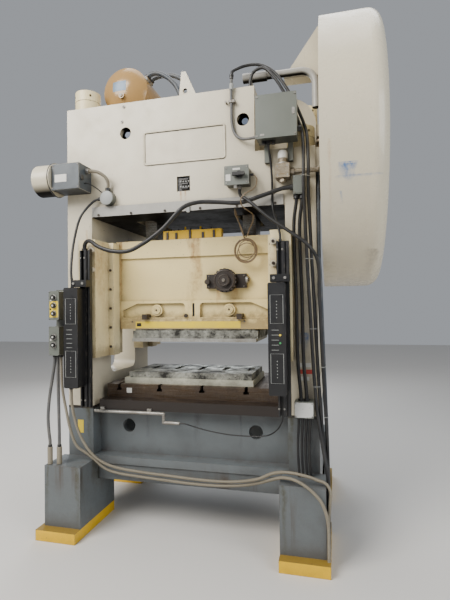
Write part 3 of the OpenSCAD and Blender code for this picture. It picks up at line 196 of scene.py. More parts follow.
def edge_wear_group():
    """Mask of the edges that hands and tools have rubbed"""
    g = Group("Edge Wear", {"Radius": 0.004, "Amount": 0.5})
    rounded = g.node("Bevel", {"Radius": g["Radius"]}, samples=4).outputs[0]
    normal = g.node("NewGeometry").outputs["Normal"]
    facing = g.node("VectorMath", {0: rounded, 1: normal}, operation="DOT_PRODUCT")
    edge = g.span(facing.outputs["Value"], 0.995, 0.90)
    limit = g.span(g["Amount"], 0.0, 1.0, 0.72, 0.34)
    broken = g.span(g.minus(g.noise(34.0, 5.0, 0.65), limit), 0.0, 0.05)
    return g.close(Mask=g.mul(edge, broken, True))


def runs_group():
    """Mask of oil and rust that ran down the surface"""
    g = Group("Oil Runs", {"Width": 14.0, "Amount": 0.5})
    squeeze = g.node("CombineXYZ", {0: g["Width"], 1: g["Width"], 2: 0.9}).outputs[0]
    lanes = g.noise(1.0, 5.0, 0.62, squeeze)
    both = g.add(lanes, g.mul(g.noise(2.3, 3.0, 0.5), 0.45))
    limit = g.span(g["Amount"], 0.0, 1.0, 0.98, 0.70)
    mask = g.span(g.minus(both, limit), 0.0, 0.16)
    patch = g.span(g.noise(1.7, 4.0, 0.6), 0.47, 0.62)
    return g.close(Mask=g.mul(mask, patch))


def drip_group():
    """Mask of one stain that ran down from a seam, on the front half only"""
    g = Group("Drip", {"Across": 0.0, "Width": 0.02, "Top": 1.9, "Bottom": 1.3})
    x, y, z = g.node("SeparateXYZ", {0: g.where}).outputs
    bend = g.noise(1.0, 4.0, 0.7, (9.0, 9.0, 3.0))
    bend = g.mul(g.span(bend, 0.2, 0.8, -1.6, 1.6), g["Width"])
    away = g.math("ABSOLUTE", g.add(g.minus(x, g["Across"]), bend))
    beside = g.span(g.math("DIVIDE", away, g["Width"]), 0.1, 1.0, 1.0, 0.0)
    mask = g.mul(beside, g.span(z, g["Bottom"], g["Top"]))
    inside = g.mul(g.math("LESS_THAN", z, g["Top"]), g.math("LESS_THAN", y, 0.0))
    broken = g.span(g.noise(34.0, 6.0, 0.7), 0.34, 0.60, 0.25, 1.0)
    return g.close(Mask=g.mul(g.mul(mask, inside), broken, True))


def band_group():
    """Mask of a range of heights with a ragged upper and lower edge"""
    g = Group("Height Band", {"Low": 0.0, "High": 0.1, "Ragged": 0.01})
    height = g.node("SeparateXYZ", {0: g.where}).outputs[2]
    rough = g.span(g.noise(22.0, 5.0, 0.7), 0.25, 0.75, -1.0, 1.0)
    height = g.add(height, g.mul(rough, g["Ragged"]))
    soft = g.mul(g["Ragged"], 1.5)
    above = g.span(height, g["Low"], g.add(g["Low"], soft))
    below = g.span(height, g.minus(g["High"], soft), g["High"], 1.0, 0.0)
    return g.close(Mask=g.mul(above, below))


def worn_paint_group(edge_wear, runs):
    """Enamel with blotches, oil runs, speckles and chips down to the metal, grime and painted shade
    in its corners, and painted shade on its undersides
    """
    g = Group("Worn Paint", {
        "Paint": (0.6, 0.6, 0.5, 1), "Stain": (0.1, 0.06, 0.03, 1), "Bare": (0.12, 0.10, 0.09, 1),
        "Blotches": 0.3, "Runs": 0.4, "Chips": 0.4, "Gloss": 0.42, "Dust": 0.3, "Grime": 0.5,
        "Underside": 0.6,
    })
    stain = g["Stain"]
    broad = g.span(g.noise(1.9, 5.0, 0.6), 0.40, 0.70)
    cloud = g.span(g.noise(9.0, 6.0, 0.65), 0.42, 0.72)
    grain = g.noise(260.0, 2.0, 0.5)
    bleach = g.span(grain, 0.2, 0.8, 0.0, 0.35)
    colour = g.mix(bleach, g["Paint"], (0.9, 0.88, 0.82, 1), "SOFT_LIGHT")
    blotch = g.mul(g.add(broad, g.mul(cloud, 0.6)), g["Blotches"], True)
    colour = g.mix(blotch, colour, g.mix(0.55, stain, g["Paint"]))
    run = g.node("Group", {"Vector": g.where, "Amount": g["Runs"]}, node_tree=runs)
    colour = g.mix(g.mul(run.outputs[0], 0.75), colour, stain)
    dots = g.span(g.noise(95.0, 3.0, 0.6), 0.70, 0.75)
    colour = g.mix(g.mul(dots, g["Dust"], True), colour, stain)
    # Ambient occlusion darkens corners and recesses with the stain colour: grime there, and painted
    # shade.
    corners = g.node("AmbientOcclusion", {"Distance": 0.10}, samples=4)
    shut = g.span(corners.outputs["AO"], 0.92, 0.35)
    shut = g.mul(shut, g.span(cloud, 0.0, 0.8, 0.45, 1.0))
    colour = g.mix(g.mul(shut, g["Grime"], True), colour, stain)
    # Faces that look down turn near black and lose most of their sheen: painted shade on the
    # undersides.
    facing = g.node("SeparateXYZ", {0: g.node("NewGeometry").outputs["Normal"]})
    down = g.mul(g.span(facing.outputs[2], -0.4, -0.85), g["Underside"])
    colour = g.mix(down, colour, (0.006, 0.005, 0.004, 1))
    wear = g.node("Group", {"Vector": g.where, "Amount": g["Chips"]}, node_tree=edge_wear)
    limit = g.span(g["Chips"], 0.0, 1.0, 0.86, 0.64)
    flakes = g.span(g.minus(g.noise(26.0, 6.0, 0.7), limit), 0.0, 0.012)
    chips = g.math("MAXIMUM", flakes, wear.outputs[0])
    rough = g.add(g["Gloss"], g.span(cloud, 0.0, 1.0, -0.06, 0.14))
    relief = g.add(g.mul(grain, 0.12), g.mul(g.noise(42.0, 3.0), 0.5))
    return g.close(
        Color=g.mix(chips, colour, g["Bare"]),
        Roughness=g.add(rough, g.mul(chips, 0.25), True),
        Height=g.minus(relief, g.mul(chips, 0.8)),
        Specular=g.span(down, 0.0, 1.0, 0.5, 0.03),
    )


def scraped_steel_group():
    """Bare metal with oil film, rust freckles and fine scratches"""
    g = Group("Scraped Steel", {
        "Metal": (0.5, 0.5, 0.48, 1), "Film": (0.12, 0.09, 0.05, 1),
        "Film Amount": 0.4, "Scratches": 0.4, "Gloss": 0.35,
    })
    cloud = g.span(g.noise(7.0, 7.0, 0.66), 0.38, 0.66)
    freckle = g.span(g.noise(70.0, 5.0, 0.7), 0.58, 0.70)
    film = g.mul(g.add(cloud, g.mul(freckle, 0.7)), g["Film Amount"], True)
    lines = g.noise(1.0, 3.0, 0.6, (6.0, 240.0, 240.0))
    marks = g.add(lines, g.noise(1.0, 3.0, 0.6, (190.0, 9.0, 190.0)))
    scraped = g.mul(g.span(marks, 0.8, 1.2), g["Scratches"])
    light = g.mix(scraped, g["Metal"], (0.75, 0.75, 0.72, 1))
    rough = g.add(g["Gloss"], g.mul(film, 0.3))
    return g.close(
        Color=g.mix(film, light, g["Film"]),
        Roughness=g.add(rough, g.span(marks, 0.7, 1.3, -0.06, 0.08), True),
        Metallic=g.span(film, 0.2, 0.9, 0.95, 0.15),
        Height=g.add(g.mul(marks, g["Scratches"]), g.mul(film, -0.4)),
    )


def sheath_group():
    """Rubber or plastic sheath with dust and a fine texture"""
    g = Group("Dusty Sheath", {
        "Sheath": (0.03, 0.03, 0.03, 1), "Dust": (0.30, 0.26, 0.20, 1),
        "Dust Amount": 0.25, "Gloss": 0.45,
    })
    cloud = g.span(g.noise(13.0, 6.0, 0.65), 0.42, 0.75)
    speck = g.span(g.noise(120.0, 4.0, 0.7), 0.55, 0.72)
    dust = g.mul(g.add(cloud, g.mul(speck, 0.5)), g["Dust Amount"], True)
    return g.close(
        Color=g.mix(dust, g["Sheath"], g["Dust"]),
        Roughness=g.add(g["Gloss"], g.mul(dust, 0.5), True),
        Height=g.noise(210.0, 3.0),
    )


# Finishes

GROUPS = {}
REPEATS = {}
FINISH = {}

# What a finish says where its row doesn't
USUAL_PAINT = {"Bare": (0.09, 0.075, 0.06, 1), "Blotches": 0.28, "Gloss": 0.42, "Dust": 0.5}
OIL_FILM = (0.10, 0.07, 0.04, 1)

# Stains with a tone of their own
SCUFF = (0.015, 0.12, 0.34, 1)
DEEP_RUST = (0.30, 0.125, 0.022, 1)
OLIVE = (0.050, 0.044, 0.020, 1)
BROWN = (0.012, 0.006, 0.003, 1)

# Name: colour, or its name in the settings, and what differs from the usual paint
# Each row sets its share of painted shade on down-facing faces: full on the crown and the strip,
# none on the guard.
PAINTS = {
    "crown_enamel": ("cream", dict(Blotches=0.10, Runs=0.25, Chips=0.3, Gloss=0.34, Underside=1.0)),
    "guard_enamel": ("cream", dict(Blotches=0.14, Runs=0.2, Chips=0.25, Gloss=0.3, Underside=0.0)),
    "slide_enamel": ("aged_cream", dict(Blotches=0.10, Runs=0.22, Dust=1.0)),
    "gib_enamel": ((0.78, 0.66, 0.38, 1), dict(Blotches=0.16, Runs=0.35)),
    "column_enamel": ("cream", dict(Blotches=0.12, Runs=0.35, Chips=0.5)),
    "strip_enamel": ((0.34, 0.33, 0.30, 1), dict(Blotches=0.4, Runs=0.5, Underside=1.0)),
    "tank_enamel": ("tan", dict(Gloss=0.20, Runs=0.2, Chips=0.15, Blotches=0.2)),
    "bed_enamel": ("blue_grey", dict(Blotches=0.35, Runs=0.6, Chips=0.6)),
    "wheel_enamel": ((0.10, 0.11, 0.11, 1), dict(Blotches=0.4, Runs=0.2)),
    "motor_enamel": ((0.09, 0.10, 0.10, 1), dict(Blotches=0.4, Runs=0.3)),
    "grey_enamel": ("grey", dict(Blotches=0.2, Runs=0.25, Chips=0.2, Gloss=0.38)),
    "foot_yellow": ("yellow", dict(
        Blotches=0.12, Runs=0.25, Chips=0.95, Dust=0.2, Bare=(0.10, 0.09, 0.08, 1)
    )),
    "black_paint": ((0.008, 0.008, 0.009, 1), dict(
        Stain=(0.022, 0.020, 0.018, 1), Blotches=0.1, Grime=0.2
    )),
    "grimy_black": ((0.030, 0.022, 0.016, 1), dict(Stain=(0.09, 0.055, 0.03, 1), Blotches=0.6)),
    "drive_brown": ((0.026, 0.018, 0.013, 1), dict(Stain=(0.012, 0.009, 0.007, 1))),
    "cam_blue": ((0.050, 0.065, 0.080, 1), dict(Blotches=0.4, Runs=0.5, Chips=0.3)),
    "speckled_white": ((0.60, 0.60, 0.57, 1), dict(Blotches=0.2, Dust=1.0, Chips=0.5)),
}

# Runs down a painted part: across, width, top, bottom, amount, tone
DRIPS = {
    "crown_enamel": (
        (-0.010, 0.009, 2.206, 2.10, 1.0, "rust"),
        (0.022, 0.008, 2.206, 2.09, 1.0, "rust"),
        (-0.40, 0.010, 2.592, 2.54, 0.3, "rust"),
    ),
    "guard_enamel": (
        (1.035, 0.050, 2.185, 2.100, 1.0, SCUFF),
        (1.045, 0.030, 2.175, 2.080, 1.0, SCUFF),
        (1.080, 0.110, 2.122, 2.108, 0.6, SCUFF),
        (0.985, 0.008, 2.050, 1.980, 0.7, SCUFF),
        (1.150, 0.034, 1.770, 1.640, 0.5, "oil"),
        (0.930, 0.010, 2.300, 1.750, 0.35, "rust"),
    ),
    "slide_enamel": (
        (0.004, 0.040, 1.925, 1.30, 1.0, DEEP_RUST),
        (0.045, 0.020, 1.925, 1.50, 0.9, DEEP_RUST),
        (0.185, 0.022, 1.580, 1.42, 0.9, "rust"),
        (0.290, 0.024, 1.580, 1.44, 0.8, "rust"),
        (-0.534, 0.018, 2.10, 1.00, 1.0, DEEP_RUST),
        (0.532, 0.014, 2.10, 1.00, 0.8, DEEP_RUST),
    ),
    "gib_enamel": (
        (-0.640, 0.030, 1.90, 1.0, 0.4, "rust"),
        (-0.590, 0.018, 1.90, 1.0, 0.6, "rust"),
        (0.600, 0.030, 1.85, 1.0, 0.4, "rust"),
    ),
    "column_enamel": (
        (0.770, 0.030, 1.290, 1.170, 1.0, SCUFF),
        (0.700, 0.012, 1.560, 1.120, 0.6, "rust"),
        (-0.700, 0.014, 1.990, 1.500, 0.5, "rust"),
    ),
    "bed_enamel": (
        (-0.30, 0.020, 0.775, 0.55, 0.6, BROWN),
        (0.05, 0.030, 0.775, 0.45, 0.5, BROWN),
        (0.34, 0.016, 0.775, 0.50, 0.6, BROWN),
        (-0.690, 0.030, 0.790, 0.42, 0.9, OLIVE),
        (0.672, 0.022, 0.790, 0.42, 0.9, OLIVE),
        (-0.645, 0.022, 0.450, 0.00, 0.9, OLIVE),
        (-0.860, 0.014, 0.450, 0.00, 0.8, OLIVE),
        (0.650, 0.020, 0.450, 0.00, 0.9, OLIVE),
    ),
}

# Grimy heights of a painted part: low, high, raggedness, amount, tone
BANDS = {
    "slide_enamel": ((1.200, 1.430, 0.060, 0.70, (0.19, 0.12, 0.045, 1)),),
    "gib_enamel": ((1.09, 1.21, 0.03, 0.5, (0.12, 0.075, 0.03, 1)),),
    "bed_enamel": ((0.770, 0.9, 0.003, 0.96, BROWN), (0.04, 0.16, 0.06, 0.20, "oil")),
    "foot_yellow": ((0.0660, 0.12, 0.0005, 0.75, (0.09, 0.06, 0.025, 1)),),
}

# Name: colour, amount of film, gloss, scratches, film
STEELS = {
    "rough_plate": ((0.40, 0.40, 0.34), 1.25, 0.5, 0.3, (0.016, 0.015, 0.012, 1)),
    "chalky_plate": ((0.62, 0.61, 0.50), 0.6, 0.55, 0.2, (0.10, 0.09, 0.055, 1)),
    "bright_steel": ((0.42, 0.42, 0.39), 0.6, 0.42),
    "dull_steel": ((0.25, 0.24, 0.22), 0.6, 0.42),
    "oily_steel": ((0.10, 0.09, 0.07), 0.8, 0.3),
    "rusty_plate": ((0.095, 0.058, 0.030), 0.9, 0.42, 0.12, (0.020, 0.010, 0.005, 1)),
    "bearing_bronze": ((0.55, 0.36, 0.16), 0.5),
    "grimy_brass": ((0.26, 0.20, 0.11), 0.75, 0.4),
}

# Name: colour, gloss, amount of dust
SHEATHS = {
    "black_rubber": ((0.006, 0.006, 0.007), 0.46, 0.06),
    "grey_sheath": ((0.085, 0.085, 0.085),),
    "blue_hose": ((0.035, 0.045, 0.058),),
    "cream_conduit": ((0.23, 0.20, 0.145),),
    "tan_conduit": ((0.16, 0.105, 0.05),),
    "black_plastic": ((0.008, 0.008, 0.009), 0.35, 0.1),
    "white_plastic": ((0.62, 0.61, 0.57), 0.4),
    "red_plastic": ((0.50, 0.03, 0.02), 0.3),
    "green_plastic": ((0.04, 0.30, 0.09), 0.3),
    "light_grey": ((0.30, 0.31, 0.30), 0.5),
    "white_label": ((0.66, 0.65, 0.60), 0.5),
    "plate_blue": ((0.09, 0.17, 0.26), 0.3),
    "sign_yellow": ((0.80, 0.58, 0.02), 0.5),
    "blue_cap": ((0.01, 0.04, 0.10), 0.4),
}

# Finish of each node of the frame
NODES_OF = {
    "crown_enamel": "crown bearing_cover motor_bracket lifting_lug cam_switch_box",
    "strip_enamel": "crown_strip exhaust_pipe",
    "black_plastic": "shut_height_counter disconnect_handle upper_button_1 upper_button_2"
    " upper_button_3 lower_button_1 lower_button_2",
    "column_enamel": "left_upright right_upright gib_bolts",
    "bed_enamel": "bed",
    "foot_yellow": "foot_pads slide_rods",
    "dull_steel": "tie_rods crankshaft wrist_pins motor_pulley bed_pipe",
    "gib_enamel": "tie_rod_nuts front_gibs rear_gibs",
    "rusty_plate": "bolster",
    "chalky_plate": "lower_die_shoe",
    "rough_plate": "lower_die_plate upper_die_shoe",
    "bearing_bronze": "main_bearings slide_liners",
    "black_paint": "clutch_drum curtain_posts light_curtains",
    "oily_steel": "connecting_rods rod_caps adjusting_screws",
    "slide_enamel": "slide",
    "drive_brown": "adjusting_drive",
    "grimy_black": "die_clamps",
    "bright_steel": "upper_die_plate",
    "wheel_enamel": "flywheel",
    "guard_enamel": "flywheel_guard guard_brackets",
    "motor_enamel": "motor",
    "black_rubber": "v_belts crown_cables left_cables right_cables",
    "tank_enamel": "air_tank",
    "grey_enamel": "electrical_box disconnect_box junction_boxes button_bracket button_boxes",
    "grimy_brass": "air_valve",
    "blue_hose": "air_hoses",
}


def tone(value):
    """A colour, or the one that the settings have under that name"""
    if isinstance(value, str):
        value = getattr(bpy.context.scene.press_paint, value)
    return tuple(value)


def finish_with(name, group, values, bump, depth, bands=(), drips=()):
    """A material that puts one of the shared groups in front of its own shader"""
    material = bpy.data.materials.new(name)
    material.use_nodes = True
    tree = Tree(material.node_tree)
    where = tree.node("TexCoord").outputs["Object"]
    made = tree.node("Group", {"Vector": where, **values}, node_tree=GROUPS[group]).outputs
    colour = made["Color"]
    for kind, labels, masks in (
        ("band", ("Low", "High", "Ragged"), bands),
        ("drip", ("Across", "Width", "Top", "Bottom"), drips),
    ):
        for *numbers, amount, stain in masks:
            place = {"Vector": where, **dict(zip(labels, numbers))}
            mask = tree.node("Group", place, node_tree=GROUPS[kind]).outputs[0]
            colour = tree.mix(tree.mul(mask, amount), colour, tone(stain))
    relief = {"Height": made["Height"], "Strength": bump, "Distance": depth}
    links = {"Base Color": colour, "Normal": tree.node("Bump", relief).outputs[0]}
    for label, source in (
        ("Roughness", "Roughness"), ("Specular IOR Level", "Specular"), ("Metallic", "Metallic")
    ):
        if source in made:
            links[label] = made[source]
    tree.put(material.node_tree.nodes["Principled BSDF"], links)
    material.diffuse_color = values.get("Paint") or values.get("Metal") or values["Sheath"]
    FINISH[name] = material


def paint(name, colour, over):
    wear = bpy.context.scene.press_wear
    values = {"Paint": tone(colour), "Stain": tone("oil"), **USUAL_PAINT}
    values.update(Runs=wear.streaks, Chips=wear.chips)
    values.update(over)
    finish_with(
        name, "worn_paint", values, 0.15, 0.002, BANDS.get(name, ()), DRIPS.get(name, ())
    )


def steel(name, colour, amount=0.4, gloss=0.34, scratches=0.4, film=OIL_FILM):
    values = {"Metal": (*colour, 1), "Film": film, "Film Amount": amount}
    values.update(Scratches=scratches, Gloss=gloss)
    finish_with(name, "steel", values, 0.12, 0.001)


def sheath(name, colour, gloss=0.45, dust=0.25):
    values = {"Sheath": (*colour, 1), "Dust Amount": dust, "Gloss": gloss}
    finish_with(name, "sheath", values, 0.12, 0.0008)


class PRESS_OT_finishes(bpy.types.Operator):
    """Make the materials and put them on the frame's own parts"""

    bl_idname = "press.finishes"
    bl_label = "Finishes"

    def execute(self, context):
        GROUPS.update(
            worn_paint=worn_paint_group(edge_wear_group(), runs_group()),
            drip=drip_group(),
            band=band_group(),
            steel=scraped_steel_group(),
            sheath=sheath_group(),
        )
        REPEATS.update(screws=screws_group(), ribs=ribs_group())
        for make, table in ((paint, PAINTS), (steel, STEELS), (sheath, SHEATHS)):
            for name, values in table.items():
                make(name, *values)
        for finish, names in NODES_OF.items():
            for name in names.split():
                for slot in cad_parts[name].material_slots:
                    slot.material = FINISH[finish]
        return {"FINISHED"}


# Mesh tools

SHARP_ANGLE = math.radians(35.0)
ROUND = 24  # sides of a round bar
ACROSS, DEEP, UP = (1, 0, 0), (0, 1, 0), (0, 0, 1)
AHEAD = (0, -1, 0)
IN_FRONT = -2.0  # Y of a place before the whole press


def bridge(solid, rings):
    """Faces between each ring of vertices and the next"""
    for a, b in zip(rings, rings[1:]):
        for k in range(len(a)):
            j = (k + 1) % len(a)
            solid.faces.new((a[k], a[j], b[j], b[k]))


def turned(centre, side, up, radius, count):
    turns = [2 * math.pi * k / count for k in range(count)]
    return [centre + radius * (math.cos(t) * side + math.sin(t) * up) for t in turns]


def circle(centre, axis, radius, count):
    aim = Vector(axis).normalized()
    side = aim.orthogonal().normalized()
    return turned(Vector(centre), side, aim.cross(side), radius, count)


def smoothed(points, step):
    """A smooth line through the points of a route"""
    p = [2 * points[0] - points[1], *points, 2 * points[-1] - points[-2]]
    line = []
    for a, b, c, d in zip(p, p[1:], p[2:], p[3:]):
        t1 = math.sqrt((b - a).length)
        t2 = t1 + math.sqrt((c - b).length)
        t3 = t2 + math.sqrt((d - c).length)
        parts = max(1, round((c - b).length / step))
        for k in range(parts):
            t = t1 + (t2 - t1) * k / parts
            ab = a.lerp(b, t / t1)
            bc = b.lerp(c, (t - t1) / (t2 - t1))
            cd = c.lerp(d, (t - t2) / (t3 - t2))
            abc = ab.lerp(bc, t / t2)
            bcd = bc.lerp(cd, (t - t1) / (t3 - t1))
            line.append(abc.lerp(bcd, (t - t1) / (t2 - t1)))
    line.append(p[-2])
    return line


def surface_of(node_name):
    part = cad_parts[node_name]
    return BVHTree.FromPolygons(
        [vertex.co.copy() for vertex in part.data.vertices],
        [tuple(face.vertices) for face in part.data.polygons],
    )


class Piece:
    """One finished piece: solids gathered in a mesh that rides a body"""

    def __init__(self, name, body="frame"):
        self.name = name
        self.body = body
        self.finishes = []
        self.mesh = bmesh.new()

    def take(self, solid, finish):
        if finish not in self.finishes:
            self.finishes.append(finish)
        bmesh.ops.recalc_face_normals(solid, faces=solid.faces)
        for face in solid.faces:
            face.material_index = self.finishes.index(finish)
            face.smooth = True
        made = bpy.data.meshes.new("solid")
        solid.to_mesh(made)
        solid.free()
        self.mesh.from_mesh(made)
        bpy.data.meshes.remove(made)

    def box(self, low, high, finish, edge=0.0015):
        solid = bmesh.new()
        bmesh.ops.create_cube(solid, size=1.0)
        low, high = Vector(low), Vector(high)
        for vertex in solid.verts:
            unit = vertex.co + Vector((0.5, 0.5, 0.5))
            vertex.co = Vector(low[i] + unit[i] * (high[i] - low[i]) for i in range(3))
        if edge:
            bmesh.ops.bevel(solid, geom=solid.edges[:], offset=edge, segments=2, affect="EDGES")
        self.take(solid, finish)

    def sweep(self, path, radii, finish, sides, closed=False):
        """A round skin along a path, without twist"""
        if isinstance(radii, float):
            radii = [radii] * len(path)
        heads = path[1:] + (path[:1] if closed else path[-1:])
        tails = (path[-1:] if closed else path[:1]) + path[:-1]
        aims = [(b - a).normalized() for a, b in zip(tails, heads)]
        side = aims[0].orthogonal().normalized()
        solid = bmesh.new()
        rings = []
        for spot, aim, radius in zip(path, aims, radii):
            side = (side - aim * side.dot(aim)).normalized()
            spots = turned(spot, side, aim.cross(side), radius, sides)
            rings.append([solid.verts.new(v) for v in spots])
        bridge(solid, rings + rings[:1] if closed else rings)
        if not closed:
            solid.faces.new(rings[0][::-1])
            solid.faces.new(rings[-1])
        self.take(solid, finish)

    def bar(self, start, end, radius, finish, sides=ROUND, edge=0.0):
        path, radii = [Vector(start), Vector(end)], radius
        if edge:
            aim = (path[1] - path[0]).normalized() * edge
            path[1:1] = path[0] + aim, path[1] - aim
            radii = [radius - edge, radius, radius, radius - edge]
        self.sweep(path, radii, finish, sides)

    def ring(self, centre, axis, radius, thick, finish, count=28):
        self.sweep(circle(centre, axis, radius, count), thick, finish, 8, closed=True)

    def lathe(self, start, axis, profile, finish, sides=32):
        """A turned solid from pairs of distance along the axis and radius"""
        path = [Vector(start) + Vector(axis) * along for along, _ in profile]
        self.sweep(path, [radius for _, radius in profile], finish, sides)

    def fit(self, finish, rows):
        """Boxes and bars from rows in millimetres

        A box is a low corner, a high corner and a bevel where it isn't 1.5. A bar is its
        number of sides, a start, an end, a radius and the bevel of its ends, if any.
        """
        for row in rows:
            bar = not isinstance(row[0], tuple)
            ends = [[value / 1000 for value in corner] for corner in row[bar : bar + 2]]
            sizes = [value / 1000 for value in row[bar + 2 :]]
            if bar:
                self.bar(*ends, sizes[0], finish, row[0], *sizes[1:])
            else:
                self.box(*ends, finish, *sizes)

    def label(self, surface, low, high, finish, grid=10):
        """A thin blank plate laid on whatever of the surface lies behind it"""
        solid = bmesh.new()
        rims = []
        for depth in (-0.0008, 0.0004):
            rows = []
            for i in range(grid + 1):
                z = low[1] + (high[1] - low[1]) * i / grid
                row = []
                for k in range(grid + 1):
                    x = low[0] + (high[0] - low[0]) * k / grid
                    hit = surface.ray_cast(Vector((x, IN_FRONT, z)), Vector(DEEP))[0]
                    row.append(solid.verts.new(hit + Vector((0, depth, 0))))
                rows.append(row)
            for a, b in zip(rows, rows[1:]):
                for k in range(grid):
                    solid.faces.new((a[k], a[k + 1], b[k + 1], b[k]))
            right = [row[-1] for row in rows[1:-1]]
            left = [row[0] for row in rows[-2:0:-1]]
            rims.append(rows[0] + right + rows[-1][::-1] + left)
        bridge(solid, rims)
        self.take(solid, finish)

    def done(self, *nodes):
        mesh = bpy.data.meshes.new(self.name)
        self.mesh.to_mesh(mesh)
        self.mesh.free()
        for finish in self.finishes:
            mesh.materials.append(FINISH[finish])
        mesh.set_sharp_from_angle(angle=SHARP_ANGLE)
        made = bpy.data.objects.new(self.name, mesh)
        bpy.context.collection.objects.link(made)
        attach(made, self.body)
        if nodes:
            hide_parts(*nodes)


# Repeats


def repeat_at(group, points, item, ahead, **scale):
    """Close a group that sets an item at every point, turned to what lies ahead"""
    turn = group.node("FunctionNodeAlignRotationToVector", {"Vector": ahead}, axis="Z")
    places = {"Points": points, "Instance": item, "Rotation": turn.outputs["Rotation"], **scale}
    placed = group.node("InstanceOnPoints", places).outputs[0]
    real = group.node("RealizeInstances", {"Geometry": placed}).outputs[0]
    painted = group.node("SetMaterial", {"Geometry": real, "Material": group["Finish"]})
    return group.close(Geometry=painted.outputs[0])


def screws_group():
    """Puts a screw at every point, turned to its facing and grown to its size"""
    g = Group("Screws At Points", {"Screw": "Object", "Finish": "Material"}, "Geometry")
    facing = g.node("InputNamedAttribute", {"Name": "facing"}, data_type="FLOAT_VECTOR")
    size = g.node("InputNamedAttribute", {"Name": "size"}, data_type="FLOAT")
    screw = g.node("ObjectInfo", {"Object": g["Screw"]}).outputs["Geometry"]
    facing, size = facing.outputs["Attribute"], size.outputs["Attribute"]
    return repeat_at(g, g.where, screw, facing, Scale=size)


def ribs_group():
    """Lays rings along a line, as on a ribbed conduit"""
    sizes = {"Pitch": 0.006, "Radius": 0.01, "Thickness": 0.0015}
    g = Group("Ribs Along Line", {**sizes, "Finish": "Material"}, "Geometry")
    curve = g.node("MeshToCurve", {"Mesh": g.where}).outputs[0]
    spaced = g.node("ResampleCurve", {"Curve": curve, "Length": g["Pitch"]}, mode="LENGTH")
    loop, wire = (
        g.node("CurvePrimitiveCircle", {"Resolution": count, "Radius": g[label]}).outputs[0]
        for count, label in ((14, "Radius"), (5, "Thickness"))
    )
    ring = g.node("CurveToMesh", {"Curve": loop, "Profile Curve": wire}).outputs[0]
    return repeat_at(g, spaced.outputs[0], ring, g.node("InputTangent").outputs[0])


def add_repeated(piece, name, source, values, finish):
    """Add to a piece the plain mesh that a node group makes from a mesh"""
    group = REPEATS[name]
    values = {**values, "Finish": FINISH[finish]}
    holder = bpy.data.objects.new(name, source)
    bpy.context.collection.objects.link(holder)
    modifier = holder.modifiers.new(name, "NODES")
    modifier.node_group = group
    for item in group.interface.items_tree:
        if item.item_type == "SOCKET" and item.in_out == "INPUT" and item.name in values:
            modifier[item.identifier] = values[item.name]
    view = bpy.context.evaluated_depsgraph_get()
    made = bpy.data.meshes.new_from_object(holder.evaluated_get(view))
    holder.modifiers.remove(modifier)
    bpy.data.objects.remove(holder)
    bpy.data.meshes.remove(source)
    solid = bmesh.new()
    solid.from_mesh(made)
    bpy.data.meshes.remove(made)
    piece.take(solid, finish)


def screw_head():
    """A round head of unit radius with a sunk hexagon, along Z"""
    mesh = bpy.data.meshes.new("screw_head")
    solid = bmesh.new()
    rings = [
        [solid.verts.new(v) for v in circle((0, 0, z), UP, radius, 24)]
        for z, radius in ((-0.3, 1.0), (0.6, 1.0), (0.75, 0.86), (0.75, 0.5), (0.2, 0.5))
    ]
    bridge(solid, rings)
    solid.faces.new(rings[0])
    solid.faces.new(rings[-1])
    bmesh.ops.recalc_face_normals(solid, faces=solid.faces)
    for face in solid.faces:
        face.smooth = True
    solid.to_mesh(mesh)
    solid.free()
    return mesh


def add_screws(piece, screws, finish, ahead=AHEAD):
    """Screw heads at pairs of a place and the radius of its head"""
    head = bpy.data.objects.new("screw_head", screw_head())
    mesh = bpy.data.meshes.new("screw_points")
    mesh.from_pydata([place for place, _ in screws], [], [])
    facing = mesh.attributes.new("facing", "FLOAT_VECTOR", "POINT")
    facing.data.foreach_set("vector", [*ahead] * len(screws))
    size = mesh.attributes.new("size", "FLOAT", "POINT")
    size.data.foreach_set("value", [radius for _, radius in screws])
    add_repeated(piece, "screws", mesh, {"Screw": head}, finish)
    bpy.data.meshes.remove(head.data)


def add_ribs(piece, path, radius, finish):
    """Ribs that stand a little proud of the skin"""
    mesh = bpy.data.meshes.new("rib_line")
    mesh.from_pydata(path, [(i, i + 1) for i in range(len(path) - 1)], [])
    values = {"Pitch": 0.0066, "Radius": radius - 0.0020, "Thickness": 0.0018}
    add_repeated(piece, "ribs", mesh, values, finish)


# Cords


def hank(x, y, z, radius):
    """Three turns of a cord in a hank, each a little wider, to a tenth of a millimetre"""
    points = []
    for k in range(36):
        turn, wider = math.radians(90 - 30 * k), k / 12
        place = (
            x + (radius + 3 * wider) * math.cos(turn),
            y - 4 * wider - 2 * math.sin(math.radians(7 * k)),
            z + (radius + 5 * wider) * math.sin(turn),
        )
        points.append([round(value / 1000, 4) * 1000 for value in place])
    return points


def foot(y):
    """The end of a cord that runs down in front of the right leg to its foot"""
    return [(892.5, y, z) for z in (470, 300, 110, 67)]


